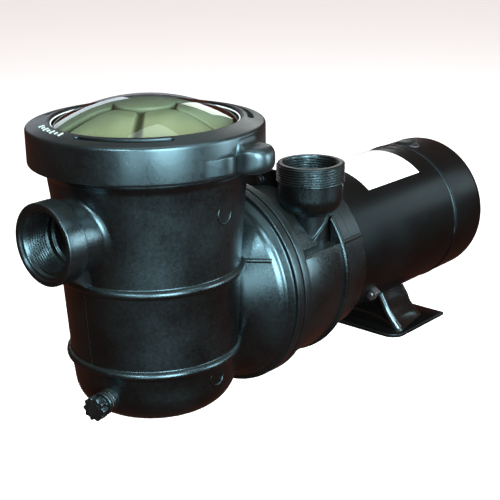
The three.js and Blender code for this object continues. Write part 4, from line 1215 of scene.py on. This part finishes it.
add("casing_flange", casing_flange(), CASING_BLACK, stands_for=["volute_housing"])
drum = add("casing_drum", casing_drum(), CASING_BLACK)
flange = add("motor_flange", motor_flange(), CASING_BLACK)
carve(flange, cylinder(DISCHARGE, DISCHARGE_NECK_R + 3, 110, 190, 64))
add("casing_skirt", skirt_part(), CASING_BLACK)
for side, tag in SIDES:
    add(f"casing_ledge_{tag}", casing_ledge(side), CASING_BLACK)
outlet = add("discharge_port", discharge_port(), BLACK)
carve(outlet, cylinder(DRIVE, IMPELLER_ROOM_R, 110, 170))
add("discharge_fillet", saddle(DISCHARGE, DISCHARGE_NECK_R, 1.6, drum_surface), BLACK, sharp=60)
carve(drum, cylinder(DISCHARGE, DISCHARGE_BORE_R, 110, 190, 64))

for number, angle in enumerate(range(30, 360, 60), 1):
    add(f"flange_screw_{number}", hex_screw(98.3, angle, 77.5), DARK_STEEL,
        stands_for=[f"casing_screw_{number}"])
for number, angle in enumerate((8, 80, 172, 300), 1):
    add(f"adapter_screw_{number}", hex_screw(152.7, angle, 77, 4.2, 3.4, toward=-1), DARK_STEEL,
        stands_for=[f"adapter_bolt_{number}"])

add("adapter", adapter_part(), ADAPTER_BLACK, stands_for=["motor_adapter"])
for side, tag in SIDES:
    add(f"adapter_ledge_{tag}", ledge_part(side, 70.0, 76.0, 163.4, 190.5, 1.0, taper=0.06), ADAPTER_BLACK)
add("shell", merged(shell_part(), shell_seam()), MOTOR_BLACK, stands_for=["motor_shell"])
cover = add("end_cover", rear_cover_part(), MOTOR_BLACK, stands_for=["rear_cover"])
vents = range(-36, 37, 12)
carve(cover, merged(*[louvre(z) for z in vents]))
add("vent_hoods", merged(*[louvre_hood(z) for z in vents]), MOTOR_BLACK)
add("label", label_part(), LABEL, stands_for=["rating_label"])
add("gland", gland_part(), RUBBER, stands_for=["cord_grommet"])
hood = add("cord_hood", cord_hood(), MOTOR_BLACK)
carve(hood, cord_notch())
add("top_strip", top_strip(), MOTOR_BLACK)
add("bonding_block", bonding_part(), ZINC, stands_for=["bonding_lug"])
add("foot", foot_plate(), PLATE_BLACK, stands_for=["motor_foot"])
stand = add("foot_pedestal", pedestal(), FOOT_BLACK)
carve(stand, cylinder(DRIVE, MOTOR_R + 0.3, 250, 370, 192))
add("foot_ridges", merged(foot_ridge(-1), foot_ridge(1)), FOOT_BLACK)

# ---------------------------------------------------------------- floor, lights and camera


def flat_emission(name, colour, strength):
    n = Nodes(name)
    glow = n.fill(n.add("Emission"), Color=(*colour, 1), Strength=strength)
    n.put(glow.outputs[0], n.out.inputs["Surface"])
    return n.material


def floor():
    n = Nodes("floor_pale")
    colour = n.mix(n.spread(n.noise(3, 3), 0.3, 0.7), (0.86, 0.86, 0.86), (0.9, 0.9, 0.9))
    n.shader(colour, 0.9, Specular_IOR_Level=0.1, Emission_Color=(1.0, 1.0, 1.0, 1.0), Emission_Strength=0.72)
    bpy.ops.mesh.primitive_plane_add(size=30, location=(0, 0, -0.0006))
    plane = bpy.context.object
    plane.name = "floor"
    plane.data.materials.append(n.material)
    plane.visible_glossy = False
    plane.visible_diffuse = False


def soft_light(name, location, target, size, size_y, power, colour=(0.86, 0.97, 1.0)):
    data = bpy.data.lights.new(name, "AREA")
    data.shape = "RECTANGLE"
    data.size = size
    data.size_y = size_y
    data.energy = power
    data.color = colour
    obj = linked(name, data)
    obj.location = location
    obj.rotation_euler = (Vector(target) - Vector(location)).to_track_quat("-Z", "Y").to_euler()


def camera():
    """Long lens, a little above the pump and off its suction end."""
    turn, tilt, roll = radians(41.57), radians(18.44), radians(-0.79)
    forward = Vector((cos(turn) * cos(tilt), sin(turn) * cos(tilt), -sin(tilt)))
    right = Vector((sin(turn), -cos(turn), 0))
    up = right.cross(forward)
    x = right * cos(roll) + up * sin(roll)
    y = up * cos(roll) - right * sin(roll)
    data = bpy.data.cameras.new("camera")
    data.sensor_width = 36
    data.lens = 80.95
    data.clip_end = 100
    obj = linked("camera", data)
    m = Matrix((x, y, -forward)).transposed().to_4x4()
    m.translation = (POT_X - 0.60228, -0.64255, 0.44321)
    obj.matrix_world = m
    bpy.context.scene.camera = obj


def world():
    w = bpy.data.worlds.new("studio")
    w.use_nodes = True
    sky = w.node_tree.nodes["Background"].inputs
    sky["Color"].default_value = (1.0, 0.34, 0.20, 1)
    sky["Strength"].default_value = 0.12
    bpy.context.scene.world = w


def backdrop():
    """White surround that only the camera sees, so that it lights nothing."""
    bpy.ops.mesh.primitive_uv_sphere_add(radius=12, segments=48, ring_count=24)
    dome = bpy.context.object
    dome.name = "backdrop"
    dome.data.materials.append(flat_emission("backdrop_white", (1, 1, 1), 1.0))
    for ray in ("diffuse", "glossy", "transmission", "shadow", "volume_scatter"):
        setattr(dome, f"visible_{ray}", False)


floor()
world()
backdrop()
camera()
soft_light("key", (-0.57, -0.86, 0.44), (-0.16, -0.05, 0.23), 0.46, 0.62, 48)
soft_light("upper_left", (-1.25, -0.45, 0.95), (-0.08, 0, 0.12), 0.30, 0.30, 28)
soft_light("left_low", (-0.88, -0.49, 0.20), (-0.004, -0.05, 0.17), 0.22, 0.34, 3.2)
soft_light("right_low", (0.24, -0.66, 0.29), (-0.25, -0.03, 0.19), 0.26, 0.34, 6.5)
soft_light("front_high", (0.04, -0.60, 0.90), (0.14, -0.04, 0.03), 0.30, 0.30, 3.2)
soft_light("top", (0.0, 0.0, 1.5), (0.02, 0.0, 0.1), 0.9, 0.9, 9)
soft_light("window", (0.98, 0.67, 0.70), (-0.12, 0, 0.26), 0.24, 0.30, 1.05, (0.97, 1.0, 0.97))
soft_light("rim", (1.02, -0.58, 0.50), (0.14, -0.03, 0.10), 0.30, 0.46, 1.5)
soft_light("left_back", (0.42, 1.05, 0.52), (-0.14, 0, 0.25), 0.45, 0.2, 0.7, (0.80, 0.92, 1.0))
bpy.context.scene.view_settings.view_transform = "Standard"
